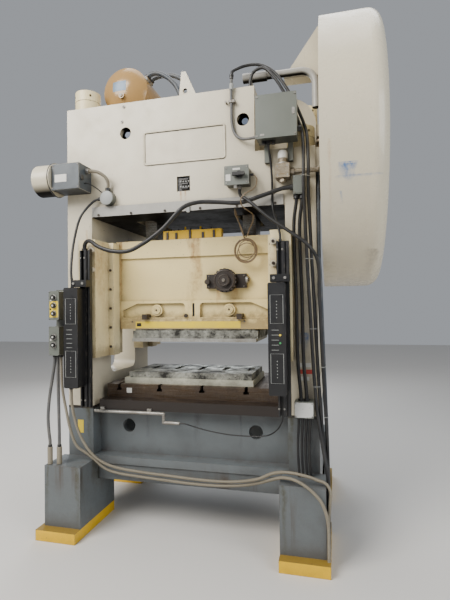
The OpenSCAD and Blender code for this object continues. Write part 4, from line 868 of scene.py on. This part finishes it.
# The cords follow these lines, in millimetres
ROUTES = {
    "span": (
        (-640, -575, 1830), (-640, -575, 1848), (-632, -580, 1874), (-606, -592, 1890),
        (-570, -606, 1882), (-520, -626, 1850), (-415, -640, 1812), (-300, -640, 1805),
        (-210, -640, 1840), (-80, -620, 1930), (50, -580, 2070), (130, -550, 2100),
        (250, -530, 2098), (395, -520, 2088), (545, -505, 2130), (650, -492, 2162),
        (690, -490, 2165), (716, -490, 2165),
    ),
    "switch": (
        (385, -490, 2200), (385, -490, 2180), (387, -500, 2155), (396, -524, 2132),
        (414, -548, 2112), (440, -565, 2095), (580, -590, 1970), (700, -600, 1880),
        (800, -600, 1800), (850, -560, 1720), (858, -520, 1500), (868, -514, 1200),
        (880, -510, 900), (890, -515, 640), *foot(-520),
    ),
    "drop": (
        (338, -470, 2896), (342, -466, 2930), (365, -440, 2958), (420, -420, 2982),
        (500, -418, 2978), (590, -420, 2925), (690, -430, 2775), (752, -430, 2640),
        (792, -445, 2520), (802, -500, 2430), (808, -552, 2290), (806, -552, 2150),
        (810, -530, 1960), (826, -500, 1500), (852, -505, 900), (870, -530, 640), (886, -555, 530),
        *foot(-560),
    ),
    "inner_drop": (
        (450, -430, 2833), (450, -430, 2870), (470, -432, 2925), (530, -436, 2945),
        (592, -442, 2886), (668, -440, 2758), (726, -432, 2640), (766, -442, 2520),
        (776, -500, 2430), (782, -575, 2290), (780, -578, 2150), (784, -550, 1960),
        (800, -515, 1500), (830, -515, 900), (866, -560, 640), (886, -592, 530), *foot(-600),
    ),
    "box_drop": (
        (574, -540, 2440), (574, -540, 2412), (580, -490, 2330), (584, -471, 2220),
        (586, -471, 2060), (622, -560, 1940), (640, -575, 1870), (640, -575, 1830),
    ),
    "blue_hose": (
        (860, -400, 2290), (860, -400, 2255), (860, -440, 2160), (860, -472, 2050),
        (860, -476, 1900), (860, -476, 1750), (866, -476, 1600), (874, -476, 1250),
        (884, -478, 900), (890, -480, 640), *foot(-480),
    ),
    "loop": (
        (338, -470, 2896), (336, -470, 2860), (334, -468, 2730), (340, -468, 2580),
        (365, -472, 2520), (410, -490, 2488), (480, -510, 2480), (511, -510, 2480),
    ),
    "cam_conduit": (
        (-660, -520, 2370), (-630, -520, 2370), (-570, -520, 2358), (-520, -505, 2320),
        (-516, -480, 2280), (-523, -475, 2257), (-523, -475, 2237),
    ),
    "wide_conduit": (
        (-800, -600, 1150), (-800, -600, 1110), (-791, -610, 1020), (-781, -618, 937),
        (-764, -602, 792), (-743, -585, 654), (-712, -560, 546), (-664, -545, 508),
        (-606, -524, 456), (-564, -504, 408), (-520, -490, 380), (-450, -484, 364),
        (-300, -480, 352), (-100, -480, 342), (100, -480, 336), (260, -482, 342), (386, -494, 361),
        (492, -535, 401), (598, -604, 460), (650, -642, 484), (705, -668, 488), (755, -684, 474),
        (813, -696, 438), (858, -702, 390), (884, -694, 320), (892.5, -682, 250),
        (892.5, -680, 110), (892.5, -680, 67),
    ),
    "curtain_conduit": (
        (-700, -640, 950), (-700, -640, 915), (-712, -615, 830), (-704, -580, 693),
        (-672, -560, 590), (-620, -540, 500), (-560, -512, 440), (-470, -492, 404),
        (-300, -484, 384), (-100, -482, 374), (100, -482, 366), (260, -486, 369), (386, -502, 388),
        (492, -550, 430), (580, -604, 488), (640, -634, 511), (700, -648, 516), (760, -650, 508),
        (805, -644, 496), (843, -640, 482), (867, -640, 477), (887, -640, 464), (900.5, -640, 443),
        (905, -640, 415), (900, -640, 350), (892.5, -640, 260), (892.5, -640, 110),
        (892.5, -640, 67),
    ),
    "left_drop": (
        (-848, -600, 1150), (-848, -600, 1110), (-860, -606, 1010), (-874, -622, 870),
        (-876, -634, 740), (-864, -640, 640), (-858, -640, 600), (-858, -640, 560.3),
    ),
    "second_drop": (
        (-824, -600, 1150), (-824, -600, 1110), (-820, -606, 1000), (-812, -615, 900),
        (-804, -622, 750), (-800, -625, 640), (-800, -625, 600), (-800, -625, 560.3),
    ),
    "curtain_lead": (
        (-571, -475, 2189), (-590, -475, 2189), (-618, -480, 2180), (-648, -500, 2145),
        (-670, -522, 2105), (-692, -545, 2050), (-722, -575, 1870), (-700, -635, 1680),
        (-690, -640, 1620), (-690, -640, 1585),
    ),
    "cam_lead": (
        (-660, -540, 2285), (-640, -540, 2285), (-604, -510, 2266), (-571, -475, 2237),
        (-557, -475, 2223),
    ),
    "bed_wire": (
        (-33, -462, 706), (0, -462, 706), (60, -458, 690), (160, -456, 668), (300, -458, 652),
        (440, -460, 652), (540, -475, 668), (600, -512, 715), (632, -548, 770), (640, -560, 798),
        (640, -560, 815),
    ),
    "riser": (
        (732, -500, 2113), (732, -500, 2080), (716, -496, 1960), (722, -494, 1500),
        (728, -500, 1100), (742, -505, 926), (742, -505, 892),
    ),
    "leg": (
        (728, -510, 798), (728, -510, 760), (720, -500, 640), (724, -515, 520), (728, -520, 470),
        (728, -520, 450),
    ),
    "hose": (
        (-360, -170, 3140), (-340, -170, 3160), (-290, -170, 3166), (-210, -170, 3124),
        (-140, -170, 3050), (-100, -170, 2950), (-96, -170, 2870), (-96, -170, 2833),
    ),
    "far_hose": (
        (-360, -110, 3140), (-340, -110, 3160), (-280, -110, 3172), (-180, -112, 3160),
        (-90, -116, 3100), (-30, -120, 2980), (-20, -120, 2880), (-20, -120, 2833),
    ),
    "tan_lead": (
        (452, -490, 2262), (470, -490, 2262), (492, -494, 2238), (494, -506, 2200),
        (478, -556, 2152), (446, -592, 2126), (414, -594, 2094), (414, -572, 2058),
        (440, -526, 2036), (462, -470, 2020), (452, -420, 1985), (420, -370, 1950),
        (400, -340, 1915), (384, -352, 1900), (372, -370, 1950), (350, -400, 2010),
        (340, -430, 2040), (340, -436, 2055), (340, -436, 2073), *hank(390, -330, 1817, 68),
    ),
}

# CAD node: route, radius in millimetres, and where they aren't usual finish and shift
CORDS = {
    "crown_cables": (
        ("span", 13), ("switch", 10), ("drop", 10), ("inner_drop", 10), ("box_drop", 7),
        ("blue_hose", 10, "blue_hose"), ("loop", 9, "grey_sheath"),
        ("tan_lead", 3.5, "tan_conduit"),
    ),
    "left_cables": (
        ("cam_conduit", 12, "cream_conduit"), ("wide_conduit", 10, "cream_conduit"),
        ("curtain_conduit", 10, "cream_conduit"), ("left_drop", 10, "grey_sheath"),
        ("second_drop", 10, "grey_sheath"), ("curtain_lead", 8), ("cam_lead", 4), ("bed_wire", 4),
    ),
    "right_cables": (
        *(("riser", 12, "black_rubber", across) for across in (0, 34)),
        *(("leg", 7, "black_rubber", across) for across in (0, 22, 44, 66)),
    ),
    "air_hoses": (("hose", 17, "blue_hose"), ("far_hose", 17, "blue_hose")),
}
RIBBED = ("cam_conduit", "wide_conduit", "curtain_conduit", "riser")
THIN = 0.006  # radius under which a cord is a wire: fewer sides and no bushes
STEP = 0.018  # spacing of the rings of a cord
WIRE_STEP = 0.012  # the same of a wire
SKIN_BELOW = 0.0022  # how far the skin between ribs lies under the cord's radius
BUSH_LENGTH = 0.014
BUSH_GROWTH = 1.35  # radius of a bush as a share of the cord's
BUSH_ABOVE = 0.1  # height under which a cord ends on a foot, without a bush
STRAP_OUT = 0.0112  # from the middle of a strapped cord to the middle of the strap
STRAP_RADIUS = 0.0016
HANGING = 20  # ring of a strapped cord from which it only comes down

# Middles and ends of the sleeves on the left foot
SLEEVES = ((-0.858, -0.640), (-0.800, -0.625))
SLEEVE_LOW, SLEEVE_HIGH = 0.450, 0.560

# Two cords and the height of a strap that holds them together
STRAPS = (
    *(("drop", "inner_drop", height) for height in (2.20, 1.72, 1.32, 0.98)),
    *(("switch", "blue_hose", height) for height in (1.10, 0.80)),
)


def route_line(name, across=0, step=STEP):
    points = [Vector(((x + across) / 1000, y / 1000, z / 1000)) for x, y, z in ROUTES[name]]
    return smoothed(points, step)


class PRESS_OT_cables(bpy.types.Operator):
    """Smooth cables, ribbed conduits and hoses in place of the coarse ones"""

    bl_idname = "press.cables"
    bl_label = "Cables"

    def execute(self, context):
        for node_name, cords in CORDS.items():
            piece = Piece(node_name + "_smooth")
            for cord in cords:
                self.cord(piece, *cord)
            if node_name == "left_cables":
                self.sleeves(piece)
            if node_name == "crown_cables":
                for strap in STRAPS:
                    self.strap(piece, *strap)
                self.hank(piece)
            piece.done(node_name)
        return {"FINISHED"}

    def cord(self, piece, route, radius, finish="black_rubber", across=0):
        """The skin of one cord, with ribs where it has them and a bush at each end"""
        radius /= 1000
        thin = radius < THIN
        line = route_line(route, across, WIRE_STEP if thin else STEP)
        if route in RIBBED:
            piece.sweep(line, radius - SKIN_BELOW, finish, 12)
            add_ribs(piece, line, radius, finish)
        else:
            piece.sweep(line, radius, finish, 8 if thin else 14)
        for end, inner in ((line[0], line[1]), (line[-1], line[-2])):
            if not thin and end[2] >= BUSH_ABOVE:
                tip = end + (inner - end).normalized() * BUSH_LENGTH
                piece.bar(end, tip, radius * BUSH_GROWTH, "black_plastic", 18, 0.001)

    def strap(self, piece, first, second, height):
        """A narrow strap round two cords that hang side by side"""
        near, far = (
            min(route_line(name)[HANGING:], key=lambda point: abs(point.z - height))
            for name in (first, second)
        )
        along = far - near
        along.z = 0.0
        along.normalize()
        aside = Vector((-along.y, along.x, 0.0))
        path = []
        for centre, start in ((far, -90), (near, 90)):
            for k in range(9):
                angle = math.radians(start + 22.5 * k)
                outward = math.cos(angle) * along + math.sin(angle) * aside
                path.append(centre + STRAP_OUT * outward)
        piece.sweep(path, STRAP_RADIUS, "light_grey", 8, closed=True)

    def hank(self, piece):
        """Three more turns of the tan lead"""
        for across, up, radius in (
            (0.006, -0.010, 0.060), (-0.008, 0.006, 0.066), (0.010, 0.012, 0.056)
        ):
            centre = (0.389 + across, -0.337 - across / 2, 1.815 + up)
            piece.ring(centre, DEEP, radius, 0.0032, "tan_conduit", 40)

    def sleeves(self, piece):
        """Sleeves on the left foot that two of the cords go into"""
        for x, y in SLEEVES:
            low, high = (x, y, SLEEVE_LOW), (x, y, SLEEVE_HIGH)
            piece.bar(low, high, 0.0165, "cream_conduit", edge=0.002)


# Crown

# Boxes and bars for Piece.fit
CROWN_ROWS = {
    "white_label": (
        ((308, -535, 2222), (338, -533.8, 2262)),
        ((352, -535, 2286), (398, -533.8, 2298)),
        ((-840, -603.8, 2288), (-752, -602.6, 2338), 0.4),
    ),
    "white_plastic": ((ROUND, (362, -505, 2199), (362, -505, 2184), 11),),
    "dull_steel": (
        (ROUND, (385, -490, 2199), (385, -490, 2176), 15, 2),
        ((535, -601.8, 2450), (560, -599.5, 2462)),
        ((722, -602, 2560), (738, -599.5, 2600), 3),
        (ROUND, (-660, -520, 2370), (-636, -520, 2370), 18, 2),
        *((6, (x, -529, z), (x, -523, z), 6) for z in (2236, 2288) for x in (684, 624)),
        ((318, -481.5, 2730), (360, -450.5, 2748), 2),
        (6, (300, -481.5, 2739), (300, -450, 2739), 6),
        (8, (506, -510, 2480), (490, -510, 2480), 14.5),
    ),
    "light_grey": (
        ((30, -472, 2062), (52, -460, 2116)),
        (ROUND, (337, -470, 2852), (336, -470, 2812), 13.5, 2),
    ),
    "black_plastic": (
        (ROUND, (748, -545, 2492), (774, -545, 2492), 17, 2),
        *((ROUND, (x, -540, 2441), (x, -540, 2418), 14, 2) for x in (548, 574, 604)),
        (ROUND, (716, -490, 2165), (694, -490, 2165), 19, 2),
        *((ROUND, (x, -500, 2114), (x, -500, 2090), 18, 2) for x in (732, 766)),
        (ROUND, (-571, -475, 2189), (-592, -475, 2189), 13),
        (ROUND, (-523, -475, 2236), (-523, -475, 2258), 17),
        ((-655, -590, 2300), (-650, -560, 2330), 1),
        (ROUND, (452, -490, 2262), (474, -490, 2262), 8),
    ),
    "grey_enamel": (((720, -532.5, 2117), (782, -529.5, 2221), 2),),
    "cam_blue": (((-866.8, -603, 2237.2), (-659.2, -450.2, 2409.8), 3),),
    "grimy_brass": (
        (6, (700, -490, 2260), (722, -490, 2260), 24),
        (6, (654, -494, 2221), (654, -494, 2200), 24),
    ),
}
VALVE = (0.654, -0.494, 2.300)
# Up from the valve's foot: height and radius
VALVE_PROFILE = (
    (0.0, 0.031), (0.012, 0.031), (0.016, 0.026), (0.036, 0.026),
    (0.041, 0.030), (0.075, 0.030), (0.088, 0.022),
)


class PRESS_OT_crown_fittings(bpy.types.Operator):
    """Small fittings on the crown: hole plugs, counter wheels, lids and glands"""

    bl_idname = "press.crown_fittings"
    bl_label = "Crown fittings"

    def execute(self, context):
        piece = Piece("crown_fittings")
        plug = ((0.0, 0.040), (0.0, 0.0392), (0.018, 0.0385), (0.018, 0.001))
        for x in (-0.403, 0.403):
            piece.lathe((x, -0.4494, 2.628), DEEP, plug, "black_plastic", 36)
            piece.bar((x + 0.012, -0.436, 2.620), (x + 0.012, -0.430, 2.620), 0.021, "blue_cap")
        for z in (2.236, 2.270):
            for k in range(4):
                x = -0.020 + 0.018 * k
                piece.bar((x, -0.441, z), (x + 0.0095, -0.441, z), 0.0060, "light_grey")
        self.border(piece)
        for finish, rows in CROWN_ROWS.items():
            piece.fit(finish, rows)
        clip = ((0.0, 0.046), (0.003, 0.046), (0.006, 0.040), (0.006, 0.012))
        piece.lathe((-0.523, -0.4945, 2.189), AHEAD, clip, "light_grey")
        piece.ring((-0.8745, -0.525, 2.3235), ACROSS, 0.1105, 0.0045, "black_plastic", 56)
        piece.lathe(VALVE, UP, VALVE_PROFILE, "white_plastic")
        piece.ring((*VALVE[:2], 2.306), UP, 0.032, 0.003, "grimy_brass")
        piece.done()
        return {"FINISHED"}

    def border(self, piece):
        """A rounded bead on the blank frame"""
        path = []
        half_w, half_h, corner = 0.275, 0.1065, 0.016
        for turn, (across, up) in enumerate(((1, 1), (-1, 1), (-1, -1), (1, -1))):
            for k in range(7):
                angle = math.radians(90 * turn + 15 * k)
                x = 0.010 + across * (half_w - corner) + corner * math.cos(angle)
                z = 2.505 + up * (half_h - corner) + corner * math.sin(angle)
                path.append(Vector((x, -0.4505, z)))
        piece.sweep(path, 0.0075, "crown_enamel", 10, closed=True)


# Middles of the tank's two ports, in millimetres
PORTS = ((-96, -170), (-20, -120))
# Lower left and upper right corner of the blank plate on the tank
TANK_PLATE = ((-0.562, 2.988), (-0.458, 3.058))


class PRESS_OT_tank_fittings(bpy.types.Operator):
    """Blank plate, drain cock and the fittings at the tank's ports"""

    bl_idname = "press.tank_fittings"
    bl_label = "Tank fittings"

    def execute(self, context):
        piece = Piece("tank_fittings")
        piece.label(surface_of("air_tank"), *TANK_PLATE, "plate_blue")
        piece.fit("dull_steel", (
            (6, (-490, -336, 2950), (-490, -346, 2950), 11),
            *((8, (-378, y, 3122), (-362, y, 3138), 26) for y in (-170, -110)),
            *((20, (x, y, 2863), (x, y, 2885), 21) for x, y in PORTS),
        ))
        for y in (-0.268, 0.248):
            piece.ring((-0.49, y, 3.010), DEEP, 0.1665, 0.0022, "tank_enamel", 64)
        piece.fit("grimy_brass", ((8, (x, y, 2833), (x, y, 2863), 27) for x, y in PORTS))
        piece.done()
        return {"FINISHED"}


# Slide


class PRESS_OT_slide_fittings(bpy.types.Operator):
    """Warning strip without words, boss rings and the drive's small parts"""

    bl_idname = "press.slide_fittings"
    bl_label = "Slide fittings"

    def execute(self, context):
        piece = Piece("slide_fittings", "slide")
        piece.fit("sign_yellow", (((-415, -293, 1312), (338, -291.8, 1356), 0.3),))
        piece.fit("black_plastic", (
            ((-406, -293.4, 1322), (-372, -292.2, 1346), 0.3),
            # The narrow black block sits inside the slot in the slide's front: painted shade of the
            # slot's depth.
            ((1, -270, 1392), (15, -260, 1478), 0),
        ))
        for x in (-0.26, 0.26):
            for radius in (0.0265, 0.017, 0.009):
                piece.ring((x, -0.288, 1.434), DEEP, radius, 0.0015, "slide_enamel")
            piece.bar((x, -0.287, 1.434), (x, -0.2905, 1.434), 0.006, "grimy_black")
        piece.ring((0.245, -0.349, 1.626), DEEP, 0.066, 0.004, "grimy_black", 40)
        piece.ring((0.245, -0.369, 1.626), DEEP, 0.034, 0.003, "grimy_black", 32)
        piece.fit("oily_steel", ((6, (245, -366, 1626), (245, -377, 1626), 12),))
        self.brackets(piece)
        piece.fit("dull_steel", ((ROUND, (378, -294, 1630), (396, -294, 1630), 24, 3),))
        add_screws(piece, self.screws(), "oily_steel")
        piece.done()
        return {"FINISHED"}

    def brackets(self, piece):
        """Small brackets on the slide, each with a rod that leans back, and dark bosses"""
        places = ((-185, 50), (-120, 44), (-20, 58), (72, 40), (150, 52))
        for k, (x, height) in enumerate(places):
            low, high = (x, -279.5, 1924), (x + 16, -272.2, 1924 + height)
            piece.fit("grimy_black", ((low, high),))
            rod = (x + 8, -276, 1930), (x + 30 - 12 * k, -250, 1998)
            piece.fit("black_rubber", ((10, *rod, 4.5),))
        piece.fit("grimy_black", (
            (ROUND, (-45, -290, 1395), (-45, -266, 1395), 13),
            (ROUND, (118, -300, 1620), (118, -322, 1620), 17),
            (ROUND, (394, -294, 1630), (402, -294, 1630), 12),
        ))

    def screws(self):
        return [
            *(((x, -0.2805, 1.41 + 0.08 * k), 0.0075) for x in (-0.556, 0.556) for k in range(7)),
            *(((x, -0.2955, z), 0.0055) for x in (0.125, 0.365) for z in (1.588, 1.658)),
            *(((x, -0.2925, 1.355), 0.006) for x in (-0.44, 0.365)),
        ]


# Controls

BUTTON_X = -0.824
# Moving body: height
BUTTONS = {
    "lower_button_1": 1.218,
    "lower_button_2": 1.270,
    "upper_button_1": 1.422,
    "upper_button_2": 1.474,
    "upper_button_3": 1.526,
}
# Blank labels and marks for Piece.fit
LABEL_ROWS = {
    "sign_yellow": (
        ((-855, -642.4, 1397), (-793, -641.5, 1502), 0.3),
        ((-775, -451.2, 605), (-732, -449.8, 692), 0),
    ),
    "white_label": (
        *(((-853, -642.4, z), (-843, -641.5, z + 12), 0) for z in (1444, 1496, 1245)),
        ((730, -451, 1082), (800, -449.8, 1108), 0),
        ((724, -451, 1002), (790, -449.8, 1026), 0),
        ((-462, -343.8, 866), (-424, -342.5, 900), 0),
    ),
    "red_plastic": (
        ((724, -451, 1042), (812, -449.8, 1068), 0),
        ((590, -451.2, 1500), (610, -449.8, 1560), 0),
    ),
    "speckled_white": (((708, -543.5, 802), (814, -541.5, 888), 2),),
}
# Beside each post, from its middle and in millimetres: a clamp block, then the slotted
# channel in three
POST_ROWS = (
    (-52, 58, -655, -599.5, 1590, 1634),
    (20, 29, -600, -572, 815.5, 1829.5),
    (38, 53, -600, -572, 815.5, 1829.5),
    (28.5, 38.5, -588, -572, 815.5, 1829.5),
)


class PRESS_OT_controls(bpy.types.Operator):
    """Windows of the light curtains, button collars and blank labels"""

    bl_idname = "press.controls"
    bl_label = "Controls"

    def execute(self, context):
        piece = Piece("control_fittings")
        for left, post in ((-724, -640), (578, 640)):
            self.windows(piece, left)
            self.post(piece, left, post)
            if post > 0:
                for z, finish in ((1290, "sign_yellow"), (1245, "green_plastic")):
                    x = left + 68
                    piece.fit(finish, ((ROUND, (x, -684.2, z), (x, -686.4, z), 6),))
        collar = ((0.0, 0.0200), (0.004, 0.0200), (0.006, 0.0180), (0.006, 0.0135))
        for z in BUTTONS.values():
            piece.lathe((BUTTON_X, -0.6415, z), AHEAD, collar, "dull_steel")
        for finish, rows in LABEL_ROWS.items():
            piece.fit(finish, rows)
        piece.done()
        for name, z in BUTTONS.items():
            cap = Piece(name + "_mark", name)
            cap.bar((BUTTON_X, -0.6585, z), (BUTTON_X, -0.6594, z), 0.0062, "white_plastic")
            cap.done()
        return {"FINISHED"}

    def windows(self, piece, left):
        """Two framed windows with marks in them, and a scale between them"""
        marks = []
        for low, high in ((1020, 1185), (1355, 1515)):
            corners = ((14, low), (86, low), (86, high), (14, high))
            path = [Vector(((left + x) / 1000, -0.6852, z / 1000)) for x, z in corners]
            piece.sweep(path, 0.0016, "light_grey", 6, closed=True)
            marks += [(48, 52, -685.7, low + 30 + 18 * k, 6) for k in range(6)]
        marks += [(20, 60, -685.6, 1205 + 28 * k, 2.2) for k in range(5)]
        piece.fit("light_grey", (
            ((left + x0, y, z), (left + x1, -684.2, z + height), 0)
            for x0, x1, y, z, height in marks
        ))

    def post(self, piece, left, post):
        """What holds a curtain to its post"""
        piece.fit("black_paint", (
            ((post + x0, y0, z0), (post + x1, y1, z1)) for x0, x1, y0, y1, z0, z1 in POST_ROWS
        ))
        places = (post - 30, post + 34)
        piece.fit("dull_steel", ((6, (x, -655, 1612), (x, -661, 1612), 9) for x in places))
        piece.fit("black_paint", (
            ((left + 18, -684.8, z - 8), (left + 82, -606, z + 8)) for z in (958, 1577)
        ))


# Lids with a screw in each corner: left, right, low, high, face, radius of the head
LIDS = (
    (0.517, 0.739, 2.450, 2.680, -0.6000, 0.0055),
    (0.311, 0.439, 2.209, 2.301, -0.5340, 0.0045),
    (0.724, 0.778, 2.121, 2.217, -0.5325, 0.0035),
    (-0.856, -0.670, 2.250, 2.397, -0.6030, 0.0045),
    (0.714, 0.808, 0.808, 0.882, -0.5430, 0.0035),
    (-0.856, -0.792, 1.386, 1.562, -0.6425, 0.0030),
    (-0.856, -0.792, 1.156, 1.332, -0.6425, 0.0030),
)


class PRESS_OT_screws(bpy.types.Operator):
    """Screws of the lids, brackets and covers, set out by a node group"""

    bl_idname = "press.screws"
    bl_label = "Screws"

    def execute(self, context):
        piece = Piece("frame_screws")
        screws = [
            ((x, y, z), size)
            for x0, x1, z0, z1, y, size in LIDS
            for x in (x0, x1)
            for z in (z0, z1)
        ]
        screws += [((x, -0.4500, z), 0.009) for x, z in ((-0.412, 2.807), (-0.427, 2.707))]
        screws += [
            ((post + side, -0.6000, z), 0.006)
            for post in (-0.640, 0.640)
            for z in (0.86, 1.62, 1.78)
            for side in (-0.015, 0.015)
        ]
        add_screws(piece, screws, "dull_steel")
        dark = [((-0.60 + 0.24 * k, -0.4620, 2.084), 0.008) for k in range(6)]
        for side in (-1, 1):
            dark += [((0.5981 * side, -0.5680, z), 0.010) for z in (1.705, 1.835)]
            dark += [((0.5586 * side, -0.3830, 1.188 + 0.1314 * k), 0.0085) for k in range(6)]
        add_screws(piece, dark, "grimy_black")
        piece.done()
        return {"FINISHED"}


# Stage

FLOOR_HALF = 14.0
CAMERA_PLACE = (0.9379, -3.1234, 1.4484)
CAMERA_TURN = (13.9584, 0.9678, -0.6985)  # yaw, pitch and roll in degrees
SENSOR_WIDTH = 36.0  # in millimetres
LIGHTS_AIM = (0, -0.2, 1.5)
SKY = (0.80, 0.84, 0.90, 1)
SKY_STRENGTH = 0.42


class PRESS_OT_stage(bpy.types.Operator):
    """Floor, soft lights and the camera at the photograph's angle"""

    bl_idname = "press.stage"
    bl_label = "Stage"

    def execute(self, context):
        settings = context.scene.press_stage
        self.floor(settings)
        world = bpy.data.worlds.new("studio")
        context.scene.world = world
        world.use_nodes = True
        back = world.node_tree.nodes["Background"]
        back.inputs["Color"].default_value = SKY
        back.inputs["Strength"].default_value = SKY_STRENGTH
        lights = (
            ("key", (-2.6, -4.2, 5.2), 3.4, settings.key_power, (1.0, 0.97, 0.92)),
            ("fill", (4.6, -3.0, 3.2), 3.0, settings.fill_power, (0.92, 0.96, 1.0)),
            ("top", (0.4, 0.6, 6.0), 3.6, settings.fill_power, (1.0, 1.0, 1.0)),
            ("back", (-2.0, 4.5, 3.6), 3.0, settings.fill_power, (0.9, 0.95, 1.0)),
        )
        for name, place, width, power, tint in lights:
            lamp = bpy.data.lights.new(name, "AREA")
            lamp.energy, lamp.size, lamp.color = power, width, tint
            holder = bpy.data.objects.new(name, lamp)
            aim = Vector(LIGHTS_AIM) - Vector(place)
            holder.rotation_euler = aim.to_track_quat("-Z", "Y").to_euler()
            holder.location = place
            bpy.context.collection.objects.link(holder)
        self.camera(context, settings)
        return {"FINISHED"}

    def floor(self, settings):
        mesh = bpy.data.meshes.new("floor")
        corners = ((-1, -1), (1, -1), (1, 1), (-1, 1))
        places = [(x * FLOOR_HALF, y * FLOOR_HALF, 0) for x, y in corners]
        mesh.from_pydata(places, [], [(0, 1, 2, 3)])
        floor = bpy.data.objects.new("floor", mesh)
        bpy.context.collection.objects.link(floor)
        material = bpy.data.materials.new("floor")
        material.use_nodes = True
        bsdf = material.node_tree.nodes["Principled BSDF"]
        bsdf.inputs["Base Color"].default_value = tuple(settings.floor)
        bsdf.inputs["Roughness"].default_value = 0.75
        mesh.materials.append(material)

    def camera(self, context, settings):
        yaw, pitch, roll = (math.radians(angle) for angle in CAMERA_TURN)
        level = math.cos(pitch)
        ahead = Vector((-math.sin(yaw) * level, math.cos(yaw) * level, math.sin(pitch)))
        right = Vector((math.cos(yaw), math.sin(yaw), 0))
        up = right.cross(ahead)
        turned_right = math.cos(roll) * right + math.sin(roll) * up
        turned_up = math.cos(roll) * up - math.sin(roll) * right
        data = bpy.data.cameras.new("camera")
        data.lens = settings.lens
        data.sensor_width = SENSOR_WIDTH
        data.clip_start, data.clip_end = 0.05, 100.0
        camera = bpy.data.objects.new("camera", data)
        rows = zip(turned_right, turned_up, -ahead, CAMERA_PLACE)
        camera.matrix_world = Matrix([*rows, (0, 0, 0, 1)])
        bpy.context.collection.objects.link(camera)
        context.scene.camera = camera


OPERATORS = (
    PRESS_OT_finishes,
    PRESS_OT_cables,
    PRESS_OT_crown_fittings,
    PRESS_OT_tank_fittings,
    PRESS_OT_slide_fittings,
    PRESS_OT_controls,
    PRESS_OT_screws,
    PRESS_OT_stage,
)
SETTINGS = (
    ("press_paint", PressPaint),
    ("press_wear", PressWear),
    ("press_stage", PressStage),
)


class PRESS_PT_panel(bpy.types.Panel):
    """Lists what the press is dressed with"""

    bl_idname = "PRESS_PT_panel"
    bl_label = "Stamping press"
    bl_space_type = "VIEW_3D"
    bl_region_type = "UI"
    bl_category = "Press"

    def draw(self, context):
        for name, kind in SETTINGS:
            box = self.layout.box()
            group = getattr(context.scene, name)
            for prop in kind.__annotations__:
                box.prop(group, prop)
        for operator in OPERATORS:
            self.layout.operator(operator.bl_idname)


def register():
    for name, kind in SETTINGS:
        bpy.utils.register_class(kind)
        setattr(bpy.types.Scene, name, PointerProperty(type=kind))
    for kind in (*OPERATORS, PRESS_PT_panel):
        bpy.utils.register_class(kind)


def unregister():
    for kind in (PRESS_PT_panel, *reversed(OPERATORS)):
        bpy.utils.unregister_class(kind)
    for name, kind in reversed(SETTINGS):
        delattr(bpy.types.Scene, name)
        bpy.utils.unregister_class(kind)


def main():
    register()
    for operator in OPERATORS:
        group, name = operator.bl_idname.split(".")
        getattr(getattr(bpy.ops, group), name)()
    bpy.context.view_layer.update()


if __name__ == "__main__":
    main()
